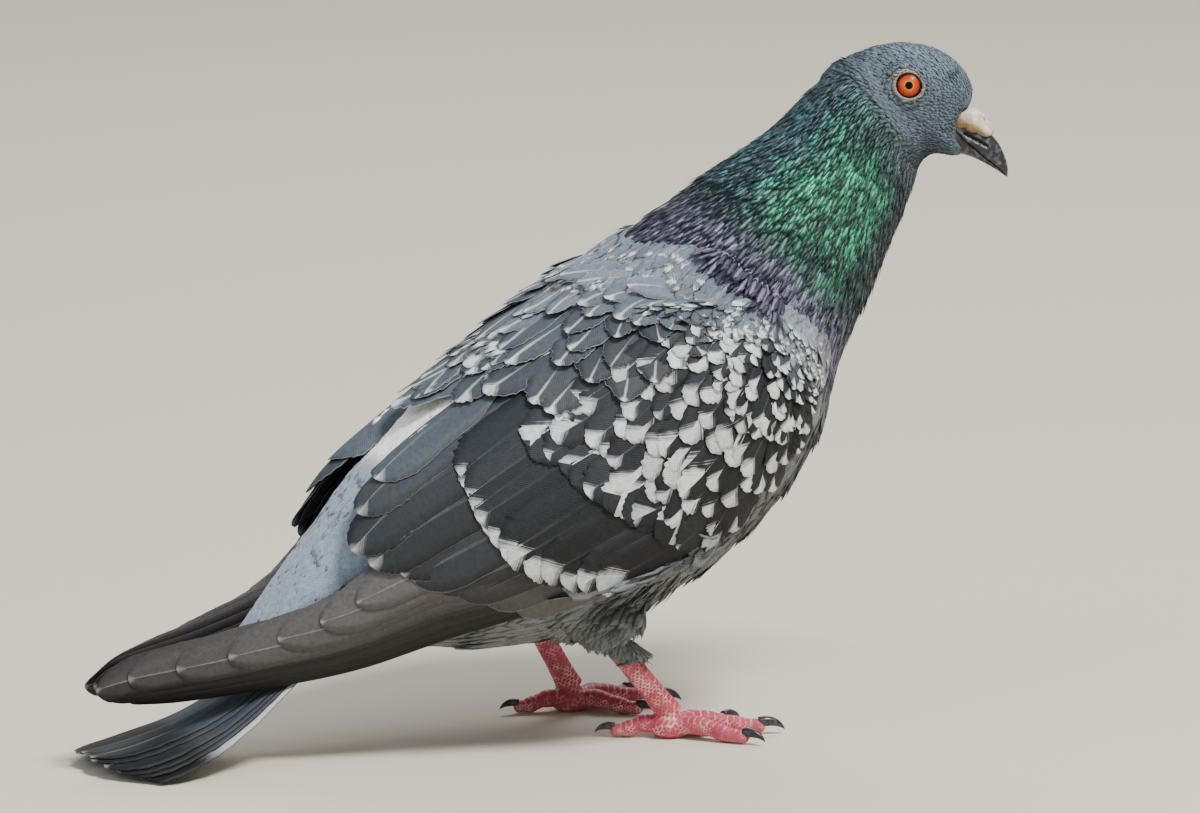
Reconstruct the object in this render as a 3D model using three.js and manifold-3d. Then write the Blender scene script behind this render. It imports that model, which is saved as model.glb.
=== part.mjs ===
// A life-size standing pigeon, still, with folded wings, its head turned to its right
// and the tip of its tail on the floor.
// Millimetres, +X forward along the body, +Y to the bird's left, +Z up, floor at Z = 0.
// The whole bird is modelled as a few smooth lofts, which thin cuts then part into head,
// neck, trunk, rump and so on.
import * as THREE from "three";
import { mergeVertices } from "three/addons/utils/BufferGeometryUtils.js";
import Module from "manifold-3d";

const wasm = await Module();
wasm.setup();

// ---------------------------------------------------------------- driving dimensions
const SIDES = { right: -1, left: 1 }; // the sign of y on each side of the bird
const GAP = 0.3; // clearance between neighbouring solids
const HUGE = 600; // side of the blocks that cut
const FACET_SLACK = 0.08; // how far a facet may leave the smooth surface when facets are joined

// Body stations, from the tail root to the top of the neck: centre x and z, then half depth and half width.
const BODY = [
  { at: "tail root", x: -118, z: 23, depth: 5, width: 10 },
  { at: "tail coverts", x: -103, z: 33, depth: 11, width: 15 },
  { at: "rump", x: -87.5, z: 41, depth: 19, width: 20 },
  { at: "rear", x: -71, z: 47.5, depth: 26.5, width: 26 },
  { at: "loins", x: -55, z: 53, depth: 33.5, width: 32 },
  { at: "belly", x: -37, z: 60.5, depth: 39, width: 36.5 },
  { at: "chest", x: -14, z: 74, depth: 41.5, width: 40 },
  { at: "breast", x: 5, z: 90, depth: 39.5, width: 39 },
  { at: "shoulders", x: 19, z: 106.5, depth: 32.5, width: 32 },
  { at: "neck base", x: 33.5, z: 122, depth: 26, width: 24.5 },
  { at: "mid neck", x: 45.5, z: 136, depth: 21, width: 19.5 },
  { at: "upper neck", x: 53.5, z: 147.5, depth: 18.2, width: 16.5 },
  { at: "nape", x: 60.5, z: 156, depth: 16, width: 13 },
];
const BODY_RINGS = 26;
const BODY_SIDES = 22;
const BODY_SQUARENESS = 2.15; // superellipse exponent of a body section
const NECK_SHIFT = { from: 0.72, sideways: -1.5 }; // the neck's centre moves over towards the turned head
// Shares of the way from the tail root to the nape at which the flesh is parted.
const CUTS = { rump: 0.24, neckFoot: 0.7, neckTop: 0.93 };
const NECK_TOP_LEAN = 0.25; // how far the cut under the head leans back

// Head: its own frame has x to the front and z up, with the origin midway between the eyes.
const HEAD_PLACE = new THREE.Vector3(64.9, -7, 159.3);
const HEAD_TURN = -37; // degrees to the bird's right
const HEAD_NOD = 25; // degrees down
// Skull stations along the head's x: top, bottom and half width.
const SKULL = [
  { x: -20, top: -4, bottom: -12, width: 5 },
  { x: -16, top: 1.6, bottom: -17, width: 9 },
  { x: -9.5, top: 7, bottom: -19.5, width: 11.8 },
  { x: -3.5, top: 9.6, bottom: -19, width: 12.6 },
  { x: 1.5, top: 10.6, bottom: -18, width: 12.4 },
  { x: 6, top: 10.3, bottom: -17, width: 11.2 },
  { x: 10.5, top: 8.8, bottom: -15.8, width: 9.2 },
  { x: 14, top: 5.8, bottom: -14.2, width: 6.8 },
  { x: 17, top: 1.2, bottom: -12.6, width: 4.4 },
  { x: 18.4, top: -2.5, bottom: -11.4, width: 3 },
];
const SKULL_RINGS = 12;
const SKULL_SIDES = 16;
const SKULL_FULLNESS = 0.92; // exponent of the sideways sine: less than 1 fills out the cheeks
const EYE = { x: 0, y: 8.1, z: 0, radius: 4.7 };
const BILL_ROOT = { x: 16.3, z: -5, lean: 0.08 }; // where the feathers end and the bill begins
// Bill stations: culmen, mouth line and keel heights, with the half width.
const BILL = [
  { x: 13, culmen: -1.2, mouth: -5, keel: -11.8, width: 4.4 },
  { x: 17.5, culmen: -1.6, mouth: -6.5, keel: -11.2, width: 3.9 },
  { x: 21.5, culmen: -2.6, mouth: -7.7, keel: -10.4, width: 3.3 },
  { x: 25.7, culmen: -4.6, mouth: -8.9, keel: -10.3, width: 2.5 },
  { x: 29, culmen: -7, mouth: -9.7, keel: -10.6, width: 1.6 },
];
const BILL_RINGS = 9;
const BILL_SIDES = 12;
const BILL_FULLNESS = 0.8; // exponent of the rise from the mouth line to the culmen
const LOWER_BILL_WIDTH = 0.86; // share of the upper half's width
const BILL_HOOK = { x: 31.5, z: -11.2 };
const CERE = { x: 18, y: 2, z: -2.4, long: 5.2, high: 2.8, wide: 2.6, slope: -4, spread: 6 };

// Folded wing: stations of the surface that carries it, from the wrist to the longest primary's tip.
// centre x and z, height over and width beside that centre, then the angles from the back
// at which its upper and lower edges lie.
const WING = [
  { at: "wrist", x: 18.5, z: 106, lean: 50, depth: 34.5, width: 34.6, upper: 74, lower: 114, thick: 2 },
  { at: "shoulder", x: 5, z: 90, lean: 47, depth: 41, width: 45, upper: 36, lower: 126, thick: 6 },
  { at: "elbow", x: -14, z: 73, lean: 40, depth: 43.4, width: 47, upper: 24, lower: 128, thick: 7 },
  { at: "forearm", x: -37, z: 58, lean: 34, depth: 42.4, width: 44, upper: 19, lower: 117, thick: 7 },
  { at: "inner", x: -56, z: 49, lean: 31, depth: 39, width: 39, upper: 17, lower: 112, thick: 6 },
  { at: "tertials", x: -75, z: 41, lean: 24, depth: 34.5, width: 33, upper: 20, lower: 106, thick: 5 },
  { at: "tertial tips", x: -96, z: 31, lean: 12, depth: 28, width: 24, upper: 28, lower: 102, thick: 3.2 },
  { at: "primaries", x: -117, z: 24, lean: 6, depth: 24.5, width: 16, upper: 34, lower: 95, thick: 2.4 },
  { at: "outer", x: -136, z: 21.5, lean: 4, depth: 18.5, width: 10.5, upper: 38, lower: 96, thick: 2 },
  { at: "near tip", x: -150, z: 20.5, lean: 2, depth: 11, width: 7.5, upper: 40, lower: 96, thick: 1.6 },
  { at: "wing tip", x: -159, z: 20, lean: 0, depth: 2.6, width: 5.5, upper: 40, lower: 98, thick: 1.2 },
];
const WING_STEPS = { along: 22, across: 7 };
const WING_EDGE = 0.25; // share of the thickness left at the wing's upper and lower edges
// Planes that part a wing: a point on each and the way it faces, in the bird's own x and z.
const COVERT_LINE = { x: -60, z: 58, facing: [0.77, 0.63] };
const PRIMARY_LINE = { x: -75, z: 46, facing: [0.41, 0.91] };

// Tail: a slightly arched fan of rectrices.
const TAIL = [
  { at: "root", x: -72, z: 44, width: 11, arch: 6, thick: 5 },
  { at: "under the coverts", x: -98, z: 30.5, width: 17, arch: 5.5, thick: 3.4 },
  { at: "middle", x: -123, z: 13.5, width: 22.5, arch: 5, thick: 2.6 },
  { at: "band", x: -142, z: 6.5, width: 26, arch: 4, thick: 1.8 },
  { at: "tip", x: -158, z: 3.4, width: 20, arch: 2, thick: 1.4 },
];
const TAIL_TIP_ROUND = 8; // how far the outer feathers fall short of the middle ones
const TAIL_STEPS = { along: 8, across: 12 };

// Legs: the right leg and the left one differ a little in their stance.
const LEGS = [
  { side: "right", y: -20, hip: [-22, 37], ankle: [-26, 27.5], foot: [-8.5, 6], turn: -17 },
  { side: "left", y: 20, hip: [-27, 37], ankle: [-30.5, 28.5], foot: [-18, 6], turn: 10 },
];
// Thigh and the boot of feathers below it: radius of level sections, by their height over the ankle.
const THIGH = [
  { up: 9.5, radius: 6 },
  { up: 7, radius: 9 },
  { up: 4, radius: 10 },
  { up: 1, radius: 9.2 },
  { up: -2, radius: 7.6 },
  { up: -5, radius: 6 },
  { up: -7.5, radius: 5.2 },
];
const TARSUS = { radius: 2.9, flare: 0.7, shares: [0.08, 0.2, 0.5, 0.8, 1] };
const FOOT_PAD = { long: 5.6, wide: 5.2, high: 3.6 };
const LEG_SIDES = { thigh: 12, tarsus: 8, toe: 8, claw: 6 };
const TOES = [
  { name: "middle", turn: 0, length: 24, radius: 2.6, claw: 1 },
  { name: "inner", turn: 35, length: 19.5, radius: 2.3, claw: 0.9 },
  { name: "outer", turn: -34, length: 22, radius: 2.3, claw: 0.9 },
  { name: "hind", turn: 176, length: 15, radius: 2.2, claw: 0.75 },
];
const TOE_STEPS = 7;
const TOE_ARCH = 2.2; // how far the root of a toe rises towards the leg
const TOE_PADS = { count: 3, swell: 0.07 }; // pads under a toe, as waves of its radius
const CLAW = { length: 6, radius: 1.4, drop: 66, steps: 4 };

// ---------------------------------------------------------------- materials
const finish = (color, roughness, metalness = 0) =>
  new THREE.MeshStandardMaterial({ color, roughness, metalness });
const MATERIALS = {
  head: finish("#5b6570", 0.75),
  neck: finish("#2f5a4c", 0.5, 0.2),
  trunk: finish("#6b737c", 0.8),
  covert: finish("#5c636c", 0.75),
  flight: finish("#3d3a3b", 0.7),
  tail: finish("#4a5159", 0.7),
  leg: finish("#b23a48", 0.6),
  claw: finish("#2a2a2c", 0.4),
  bill: finish("#35363a", 0.4),
  cere: finish("#cfc6b8", 0.9),
  eye: finish("#c8481c", 0.15),
};

// ---------------------------------------------------------------- small tools
const radians = THREE.MathUtils.degToRad;
const mix = THREE.MathUtils.lerp;
const vector = (x, y, z) => new THREE.Vector3(x, y, z);

// A closed geometry from rings of points, with a fan at each end.
function loft(rings) {
  const sides = rings[0].length;
  const points = rings.flat();
  const faces = [];
  for (let r = 0; r < rings.length - 1; r++) {
    for (let s = 0; s < sides; s++) {
      const a = r * sides + s;
      const b = r * sides + ((s + 1) % sides);
      faces.push(a, b, a + sides, b, b + sides, a + sides);
    }
  }
  for (const [ring, first] of [[0, true], [rings.length - 1, false]]) {
    const middle = points.length;
    points.push(rings[ring].reduce((sum, p) => sum.add(p), vector(0, 0, 0)).divideScalar(sides));
    for (let s = 0; s < sides; s++) {
      const a = ring * sides + s;
      const b = ring * sides + ((s + 1) % sides);
      faces.push(...(first ? [middle, b, a] : [middle, a, b]));
    }
  }
  return indexed(points, faces);
}

// A closed geometry between an outer and an inner surface, each a function of u and v from 0 to 1.
function slab(outer, inner, along, across) {
  const points = [];
  for (const surface of [outer, inner]) {
    for (let i = 0; i <= along; i++) {
      for (let j = 0; j <= across; j++) points.push(surface(i / along, j / across));
    }
  }
  const row = across + 1;
  const layer = (along + 1) * row;
  const faces = [];
  const quad = (a, b, c, d) => faces.push(a, b, c, a, c, d);
  for (let i = 0; i < along; i++) {
    for (let j = 0; j < across; j++) {
      const a = i * row + j;
      quad(a, a + row, a + row + 1, a + 1);
      quad(layer + a, layer + a + 1, layer + a + row + 1, layer + a + row);
    }
  }
  for (let i = 0; i < along; i++) {
    const a = i * row;
    const b = a + across;
    quad(a, layer + a, layer + a + row, a + row);
    quad(b, b + row, layer + b + row, layer + b);
  }
  for (let j = 0; j < across; j++) {
    const b = along * row + j;
    quad(j, j + 1, layer + j + 1, layer + j);
    quad(b, layer + b, layer + b + 1, b + 1);
  }
  return indexed(points, faces);
}

function indexed(points, faces) {
  const geometry = new THREE.BufferGeometry().setFromPoints(points);
  return geometry.setIndex(faces);
}

// Geometry to a manifold-3d solid; a surface that came out inside out is turned round.
function solid(geometry) {
  const plain = new THREE.BufferGeometry();
  plain.setAttribute("position", geometry.getAttribute("position"));
  plain.setIndex(geometry.index);
  const merged = mergeVertices(plain, 1e-3);
  const vertProperties = new Float32Array(merged.getAttribute("position").array);
  const triVerts = new Uint32Array(merged.index.array);
  const build = (triangles) => {
    return new wasm.Manifold(new wasm.Mesh({ numProp: 3, vertProperties, triVerts: triangles }));
  };
  const made = build(triVerts);
  if (made.volume() > 0) return made;
  return build(triVerts.map((_, i, all) => all[i - (i % 3) + 2 - (i % 3)]));
}

// The largest single body of a solid, as a named mesh.
function part(name, made, material) {
  const body = made
    .simplify(FACET_SLACK)
    .decompose()
    .reduce((best, one) => (one.volume() > best.volume() ? one : best));
  const { vertProperties, triVerts } = body.getMesh();
  const geometry = new THREE.BufferGeometry();
  geometry.setAttribute("position", new THREE.BufferAttribute(new Float32Array(vertProperties), 3));
  geometry.setIndex(new THREE.BufferAttribute(new Uint32Array(triVerts), 1));
  geometry.computeVertexNormals();
  const mesh = new THREE.Mesh(geometry, material);
  mesh.name = name;
  return mesh;
}

// A block that fills everything on the side of a plane that its normal points to.
function beyond(point, normal, offset = 0) {
  const block = new THREE.BoxGeometry(HUGE, HUGE, HUGE);
  block.translate(0, 0, HUGE / 2 + offset);
  const turn = new THREE.Quaternion().setFromUnitVectors(vector(0, 0, 1), normal.clone().normalize());
  block.applyQuaternion(turn);
  block.translate(point.x, point.y, point.z);
  return solid(block);
}

// Parts a solid at a plane, leaving the gap between the two halves: [behind, beyond].
function parted(made, point, normal) {
  const back = normal.clone().negate();
  return [
    made.intersect(beyond(point, back, GAP / 2)),
    made.intersect(beyond(point, normal, GAP / 2)),
  ];
}

// Smooth values along a list of stations: named fields at a share t of the way from the first to the last.
function along(stations, fields) {
  const curves = fields.map((field) => {
    const values = stations.map((s, i) => vector(i, s[field], 0));
    return new THREE.CatmullRomCurve3(values, false, "catmullrom", 0.5);
  });
  return (t) => Object.fromEntries(fields.map((field, i) => [field, curves[i].getPoint(t).y]));
}

const power = (value, exponent) => Math.sign(value) * Math.abs(value) ** exponent;
const list = (length, item) => Array.from({ length }, (_, i) => item(i));
const around = (i, sides) => (2 * Math.PI * i) / sides;

// ---------------------------------------------------------------- head frame
const headFrame = new THREE.Matrix4().compose(
  HEAD_PLACE,
  new THREE.Quaternion().setFromEuler(new THREE.Euler(0, radians(HEAD_NOD), radians(HEAD_TURN), "ZYX")),
  vector(1, 1, 1),
);
const onHead = (x, y, z) => vector(x, y, z).applyMatrix4(headFrame);

// ---------------------------------------------------------------- body
const bodyAt = along(BODY, ["x", "z", "depth", "width"]);

// The body's section at a share t: it leans with the spine, and the neck turns towards the head's turn.
function bodySection(t) {
  const here = bodyAt(t);
  const ahead = bodyAt(Math.min(1, t + 0.01));
  const behind = bodyAt(Math.max(0, t - 0.01));
  const neckShare = THREE.MathUtils.smoothstep(t, NECK_SHIFT.from, 1);
  const forward = vector(ahead.x - behind.x, 0, ahead.z - behind.z).normalize();
  const left = vector(0, 1, 0);
  const back = forward.clone().cross(left);
  const centre = vector(here.x, NECK_SHIFT.sideways * neckShare, here.z);
  return { centre, forward, left, back, depth: here.depth, width: here.width };
}

function bodyRing(t, grow) {
  const { centre, left, back, depth, width } = bodySection(t);
  const exponent = 2 / BODY_SQUARENESS;
  return list(BODY_SIDES, (i) => {
    const angle = around(i, BODY_SIDES);
    return centre
      .clone()
      .addScaledVector(back, (depth + grow) * power(Math.cos(angle), exponent))
      .addScaledVector(left, (width + grow) * power(Math.sin(angle), exponent));
  });
}

function body(grow = 0) {
  return solid(loft(list(BODY_RINGS + 1, (i) => bodyRing(i / BODY_RINGS, grow))));
}

function skull() {
  const skullAt = along(SKULL, ["x", "top", "bottom", "width"]);
  const rings = list(SKULL_RINGS + 1, (i) => {
    const { x, top, bottom, width } = skullAt(i / SKULL_RINGS);
    return list(SKULL_SIDES, (s) => {
      const angle = around(s, SKULL_SIDES);
      const z = (top + bottom) / 2 + ((top - bottom) / 2) * Math.cos(angle);
      return onHead(x, width * power(Math.sin(angle), SKULL_FULLNESS), z);
    });
  });
  return solid(loft(rings));
}

// ---------------------------------------------------------------- bill
// Upper or lower half of the bill: half-round above or below the mouth line, its width falling to the tip.
function billHalf(upper) {
  const fields = ["x", "culmen", "mouth", "keel", "width"];
  const at = along(BILL, fields);
  const made = list(BILL_RINGS + 1, (i) => {
    const { x, culmen, mouth, keel, width } = at(i / BILL_RINGS);
    const edge = upper ? mouth + GAP / 2 : mouth - GAP / 2;
    const far = upper ? culmen : keel;
    const half = upper ? width : width * LOWER_BILL_WIDTH;
    return list(BILL_SIDES, (s) => {
      const turn = (Math.PI * s) / (BILL_SIDES - 1);
      return onHead(x, half * Math.cos(turn), edge + (far - edge) * Math.sin(turn) ** BILL_FULLNESS);
    });
  });
  if (upper) {
    const last = made[made.length - 1];
    const tip = onHead(BILL_HOOK.x, 0, BILL_HOOK.z);
    made.push(last.map((p) => p.clone().lerp(tip, 0.5).add(vector(0.4, 0, 0.4))));
    made.push(last.map((p) => p.clone().lerp(tip, 0.95)));
  }
  return solid(loft(made));
}

function ellipsoid(radiusX, radiusY, radiusZ, sides, rows) {
  return new THREE.SphereGeometry(1, sides, rows).scale(radiusX, radiusY, radiusZ);
}

// The two swollen lobes of the cere over the nostrils.
function cere(grow = 0) {
  const lobes = [-1, 1].map((side) => {
    const lobe = ellipsoid(CERE.long + grow, CERE.wide + grow, CERE.high + grow, 10, 8);
    lobe.rotateY(radians(-CERE.slope));
    lobe.rotateZ(radians(-CERE.spread * side));
    lobe.translate(CERE.x, side * CERE.y, CERE.z);
    return solid(lobe.applyMatrix4(headFrame));
  });
  return lobes[0].add(lobes[1]);
}

function eyeball(side, grow = 0) {
  const ball = ellipsoid(EYE.radius + grow, EYE.radius + grow, EYE.radius + grow, 12, 8);
  ball.translate(EYE.x, side * EYE.y, EYE.z);
  return solid(ball.applyMatrix4(headFrame));
}

// ---------------------------------------------------------------- wing
const wingAt = along(WING, ["x", "z", "lean", "depth", "width", "upper", "lower", "thick"]);

function wingPoint(side, t, share, depthIn) {
  const here = wingAt(t);
  const up = vector(-Math.sin(radians(here.lean)), 0, Math.cos(radians(here.lean)));
  const angle = radians(mix(here.upper, here.lower, share));
  return vector(here.x, 0, here.z)
    .addScaledVector(up, (here.depth - depthIn) * Math.cos(angle))
    .add(vector(0, side * (here.width - depthIn) * Math.sin(angle), 0));
}

// Both halves of a solid at one of the wing's lines: [behind, beyond].
function partedAt(made, { x, z, facing }) {
  return parted(made, vector(x, 0, z), vector(facing[0], 0, facing[1]));
}

function wing(side) {
  const outer = (u, v) => wingPoint(side, u, v, 0);
  const inner = (u, v) => {
    const edge = Math.min(1, 4 * v * (1 - v) + WING_EDGE);
    return wingPoint(side, u, v, wingAt(u).thick * edge);
  };
  return solid(slab(outer, inner, WING_STEPS.along, WING_STEPS.across));
}

// ---------------------------------------------------------------- tail
function tail() {
  const tailAt = along(TAIL, ["x", "z", "width", "arch", "thick"]);
  const point = (u, v, under) => {
    const { x, z, width, arch, thick } = tailAt(u);
    const across = 2 * v - 1;
    const round = TAIL_TIP_ROUND * u ** 6 * across ** 2;
    return vector(x + round, width * across, z - arch * across ** 2 - (under ? thick : 0));
  };
  return solid(
    slab(
      (u, v) => point(u, v, false),
      (u, v) => point(u, v, true),
      TAIL_STEPS.along,
      TAIL_STEPS.across,
    ),
  );
}

// ---------------------------------------------------------------- legs
// A round limb along a list of centres, each with its radius, on straight sections across its own run.
function limb(centres, radii, sides, grow = 0) {
  const rings = centres.map((centre, i) => {
    const before = centres[Math.max(0, i - 1)];
    const after = centres[Math.min(centres.length - 1, i + 1)];
    const run = after.clone().sub(before).normalize();
    const upright = Math.abs(run.z) > 0.9;
    const across = run.clone().cross(upright ? vector(0, 1, 0) : vector(0, 0, 1)).normalize();
    const up = across.clone().cross(run).normalize();
    return list(sides, (s) => {
      const angle = around(s, sides);
      return centre
        .clone()
        .addScaledVector(across, (radii[i] + grow) * Math.cos(angle))
        .addScaledVector(up, (radii[i] + grow) * Math.sin(angle));
    });
  });
  return solid(loft(rings));
}

function leg(spec) {
  const at = ([x, z]) => vector(x, spec.y, z);
  const [hip, ankle, foot] = [spec.hip, spec.ankle, spec.foot].map(at);
  const thighRings = THIGH.map(({ up, radius }) => {
    const end = up > 0 ? hip : foot;
    const centre = ankle.clone().lerp(end, up / (end.z - ankle.z));
    return list(LEG_SIDES.thigh, (i) => {
      const angle = around(i, LEG_SIDES.thigh);
      return centre.clone().add(vector(radius * Math.cos(angle), radius * Math.sin(angle), 0));
    });
  });
  const thigh = solid(loft(thighRings));
  const centres = TARSUS.shares.map((share) => ankle.clone().lerp(foot, share));
  const radii = TARSUS.shares.map((share) => {
    return TARSUS.radius + TARSUS.flare * Math.abs(2 * share - 1) ** 3;
  });
  const tarsus = (grow) => limb(centres, radii, LEG_SIDES.tarsus, grow);
  return { thigh, tarsus, foot };
}

function footPad(foot, grow = 0) {
  const pad = ellipsoid(FOOT_PAD.long + grow, FOOT_PAD.wide + grow, FOOT_PAD.high + grow, 10, 6);
  pad.translate(foot.x, foot.y, FOOT_PAD.high - 0.5);
  return solid(pad);
}

// The way a toe points, on the floor.
function toeRun(spec, toe) {
  const mirror = spec.side === "right" ? 1 : -1;
  const heading = radians(mirror * (spec.turn + toe.turn));
  return vector(Math.cos(heading), Math.sin(heading), 0);
}

// One toe: low pads between its joints, lying along the floor.
function toeSolid(foot, run, toe, grow = 0) {
  const shares = list(TOE_STEPS + 1, (i) => i / TOE_STEPS);
  const centres = shares.map((t) => {
    const arch = TOE_ARCH * Math.sin(Math.PI * Math.min(1, t * 1.3)) * (1 - t);
    return vector(foot.x, foot.y, 0)
      .addScaledVector(run, mix(1.5, toe.length, t))
      .add(vector(0, 0, toe.radius * mix(0.95, 0.8, t) + arch));
  });
  const radii = shares.map((t) => {
    const pads = TOE_PADS.swell * Math.cos(t * 2 * TOE_PADS.count * Math.PI);
    return toe.radius * (mix(1.08, 0.72, t) + pads);
  });
  return limb(centres, radii, LEG_SIDES.toe, grow);
}

function clawSolid(foot, run, toe) {
  const height = toe.radius * 0.95 + 0.9;
  const start = vector(foot.x, foot.y, height).addScaledVector(run, toe.length + GAP);
  const bend = radians(CLAW.drop);
  const turnRadius = (toe.claw * CLAW.length) / bend;
  const shares = list(CLAW.steps + 1, (i) => i / CLAW.steps);
  const centres = shares.map((t) =>
    start
      .clone()
      .addScaledVector(run, turnRadius * Math.sin(bend * t))
      .add(vector(0, 0, -0.75 * turnRadius * (1 - Math.cos(bend * t)))),
  );
  const radii = shares.map((t) => toe.claw * CLAW.radius * Math.max(0.2, 1 - t ** 1.4));
  return limb(centres, radii, LEG_SIDES.claw);
}

// ---------------------------------------------------------------- assembly
const bird = new THREE.Group();
const add = (name, made, material) => bird.add(part(name, made, MATERIALS[material]));
const floor = beyond(vector(0, 0, 0), vector(0, 0, -1));

// Head, neck, trunk and rump are one flesh, parted by thin cuts across the spine.
const neckTop = bodySection(CUTS.neckTop);
const neckFoot = bodySection(CUTS.neckFoot);
const rumpLine = bodySection(CUTS.rump);
const bodySolid = body();
const bodyRoom = body(GAP);
const [lowerBody, neckAndTop] = parted(bodySolid, neckFoot.centre, neckFoot.forward);
const [rump, trunk] = parted(lowerBody, rumpLine.centre, rumpLine.forward);
const headCut = neckTop.forward.clone().add(vector(-NECK_TOP_LEAN, 0, 0)).normalize();
const flesh = neckAndTop.add(skull());
const [neck, headWhole] = parted(flesh, neckTop.centre, headCut);
const billFront = vector(1, 0, BILL_ROOT.lean).transformDirection(headFrame);
const billRoot = onHead(BILL_ROOT.x, 0, BILL_ROOT.z);
let head = headWhole.subtract(beyond(billRoot, billFront, -GAP));
for (const side of Object.values(SIDES)) head = head.subtract(eyeball(side, GAP));
head = head.subtract(cere(GAP));
add("head", head, "head");
add("neck", neck, "neck");
add("trunk", trunk, "trunk");
add("rump", rump, "trunk");
for (const [name, side] of Object.entries(SIDES)) add(`eye_${name}`, eyeball(side), "eye");

const billSpace = beyond(billRoot, billFront).subtract(bodyRoom);
add("bill_upper", billHalf(true).intersect(billSpace).subtract(cere(GAP)), "bill");
add("bill_lower", billHalf(false).intersect(billSpace), "bill");
add("cere", cere(), "cere");

// Wings: each is parted into coverts, tertials with the secondaries, and primaries.
for (const [name, side] of Object.entries(SIDES)) {
  const whole = wing(side).subtract(bodyRoom);
  const [rear, coverts] = partedAt(whole, COVERT_LINE);
  const [primaries, tertials] = partedAt(rear, PRIMARY_LINE);
  add(`wing_${name}_coverts`, coverts, "covert");
  add(`wing_${name}_tertials`, tertials, "flight");
  add(`wing_${name}_primaries`, primaries, "flight");
}

add("tail", tail().subtract(bodyRoom).subtract(floor), "tail");

for (const spec of LEGS) {
  const { thigh, tarsus, foot } = leg(spec);
  add(`thigh_${spec.side}`, thigh.subtract(bodyRoom).subtract(tarsus(GAP)), "trunk");
  const pad = footPad(foot).subtract(floor);
  add(`tarsus_${spec.side}`, tarsus(0).add(pad).subtract(floor).subtract(bodyRoom), "leg");
  let taken = footPad(foot, GAP).add(tarsus(GAP));
  for (const toe of TOES) {
    const run = toeRun(spec, toe);
    add(`toe_${spec.side}_${toe.name}`, toeSolid(foot, run, toe).subtract(taken).subtract(floor), "leg");
    taken = taken.add(toeSolid(foot, run, toe, GAP));
  }
  for (const toe of TOES) {
    const run = toeRun(spec, toe);
    const claw = clawSolid(foot, run, toe).subtract(floor).subtract(toeSolid(foot, run, toe, GAP));
    add(`claw_${spec.side}_${toe.name}`, claw, "claw");
  }
}

// The part's origin is on the floor under the middle of the whole bird.
const box = new THREE.Box3().setFromObject(bird);
bird.position.set(-(box.min.x + box.max.x) / 2, -(box.min.y + box.max.y) / 2, -box.min.z);

export default bird;
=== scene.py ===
# %% [markdown]
# # A life-size standing pigeon
# The bird stands on the floor with folded wings, and its head is turned to its right.
# The solids of the frame give its outline. Here they get a skin, a coat of feathers,
# eyes, a bill with its cere, and scaled legs.
# Lengths are in millimetres until a mesh is made, because feathers are measured that way.

import math

import bmesh
import bpy
import numpy as np
from mathutils import Matrix, Vector, noise
from mathutils.bvhtree import BVHTree
from mathutils.kdtree import KDTree


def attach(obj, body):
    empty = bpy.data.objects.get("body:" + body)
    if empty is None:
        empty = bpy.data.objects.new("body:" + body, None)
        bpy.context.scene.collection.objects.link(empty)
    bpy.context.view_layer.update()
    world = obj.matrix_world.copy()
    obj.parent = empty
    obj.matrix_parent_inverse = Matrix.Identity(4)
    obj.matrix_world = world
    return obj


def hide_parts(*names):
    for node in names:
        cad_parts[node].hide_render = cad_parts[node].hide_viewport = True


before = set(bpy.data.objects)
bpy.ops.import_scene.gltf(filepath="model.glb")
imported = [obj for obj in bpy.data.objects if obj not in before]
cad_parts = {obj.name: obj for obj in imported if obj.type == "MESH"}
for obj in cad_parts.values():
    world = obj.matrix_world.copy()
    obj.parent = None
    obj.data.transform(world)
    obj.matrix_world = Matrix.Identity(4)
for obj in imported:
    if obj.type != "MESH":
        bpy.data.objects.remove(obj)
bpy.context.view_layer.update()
MM = 0.001
SIDES = {"right": -1, "left": 1}

# %% [markdown]
# ## Camera, light and floor
# The camera looks at the bird's right side from a little behind and above, from far
# away with a long lens, so that near and far feathers keep almost the same scale.
# A soft lamp stands at the upper right, a weaker one fills from the left, and a third
# lights the bird's far edge from behind. Matt paint on the floor scatters light evenly,
# so it shows soft shadows and no mirror image.

# %% Camera
AIM = Vector((18.6, 0, 81.3)) * MM
CAMERA_TURN = math.radians(-24)
CAMERA_RISE = math.radians(10)
CAMERA_DISTANCE = 2.6
VIEW_WIDTH = 0.3


def in_scene(name, data):
    """A new object with the given data, linked to the scene."""
    made = bpy.data.objects.new(name, data)
    bpy.context.scene.collection.objects.link(made)
    return made


def around_aim(turn, rise, distance):
    """A place at a turn from the bird's right side, a rise above the floor, and a distance."""
    level = math.cos(rise)
    return AIM + distance * Vector((math.sin(turn) * level, -math.cos(turn) * level, math.sin(rise)))


camera = in_scene("camera", bpy.data.cameras.new("camera"))
camera.location = around_aim(CAMERA_TURN, CAMERA_RISE, CAMERA_DISTANCE)
camera.rotation_euler = (AIM - camera.location).to_track_quat("-Z", "Y").to_euler()
camera.data.lens = camera.data.sensor_width * CAMERA_DISTANCE / VIEW_WIDTH
camera.data.clip_start = 0.1
bpy.context.scene.camera = camera
print("lens", round(camera.data.lens), "mm")


# %% Colours and nodes
def linear(hex_code):
    """sRGB hex to the linear colour that Blender reckons with."""
    parts = [int(hex_code[i : i + 2], 16) / 255 for i in (1, 3, 5)]
    return [c / 12.92 if c <= 0.04045 else ((c + 0.055) / 1.055) ** 2.4 for c in parts]


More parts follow.
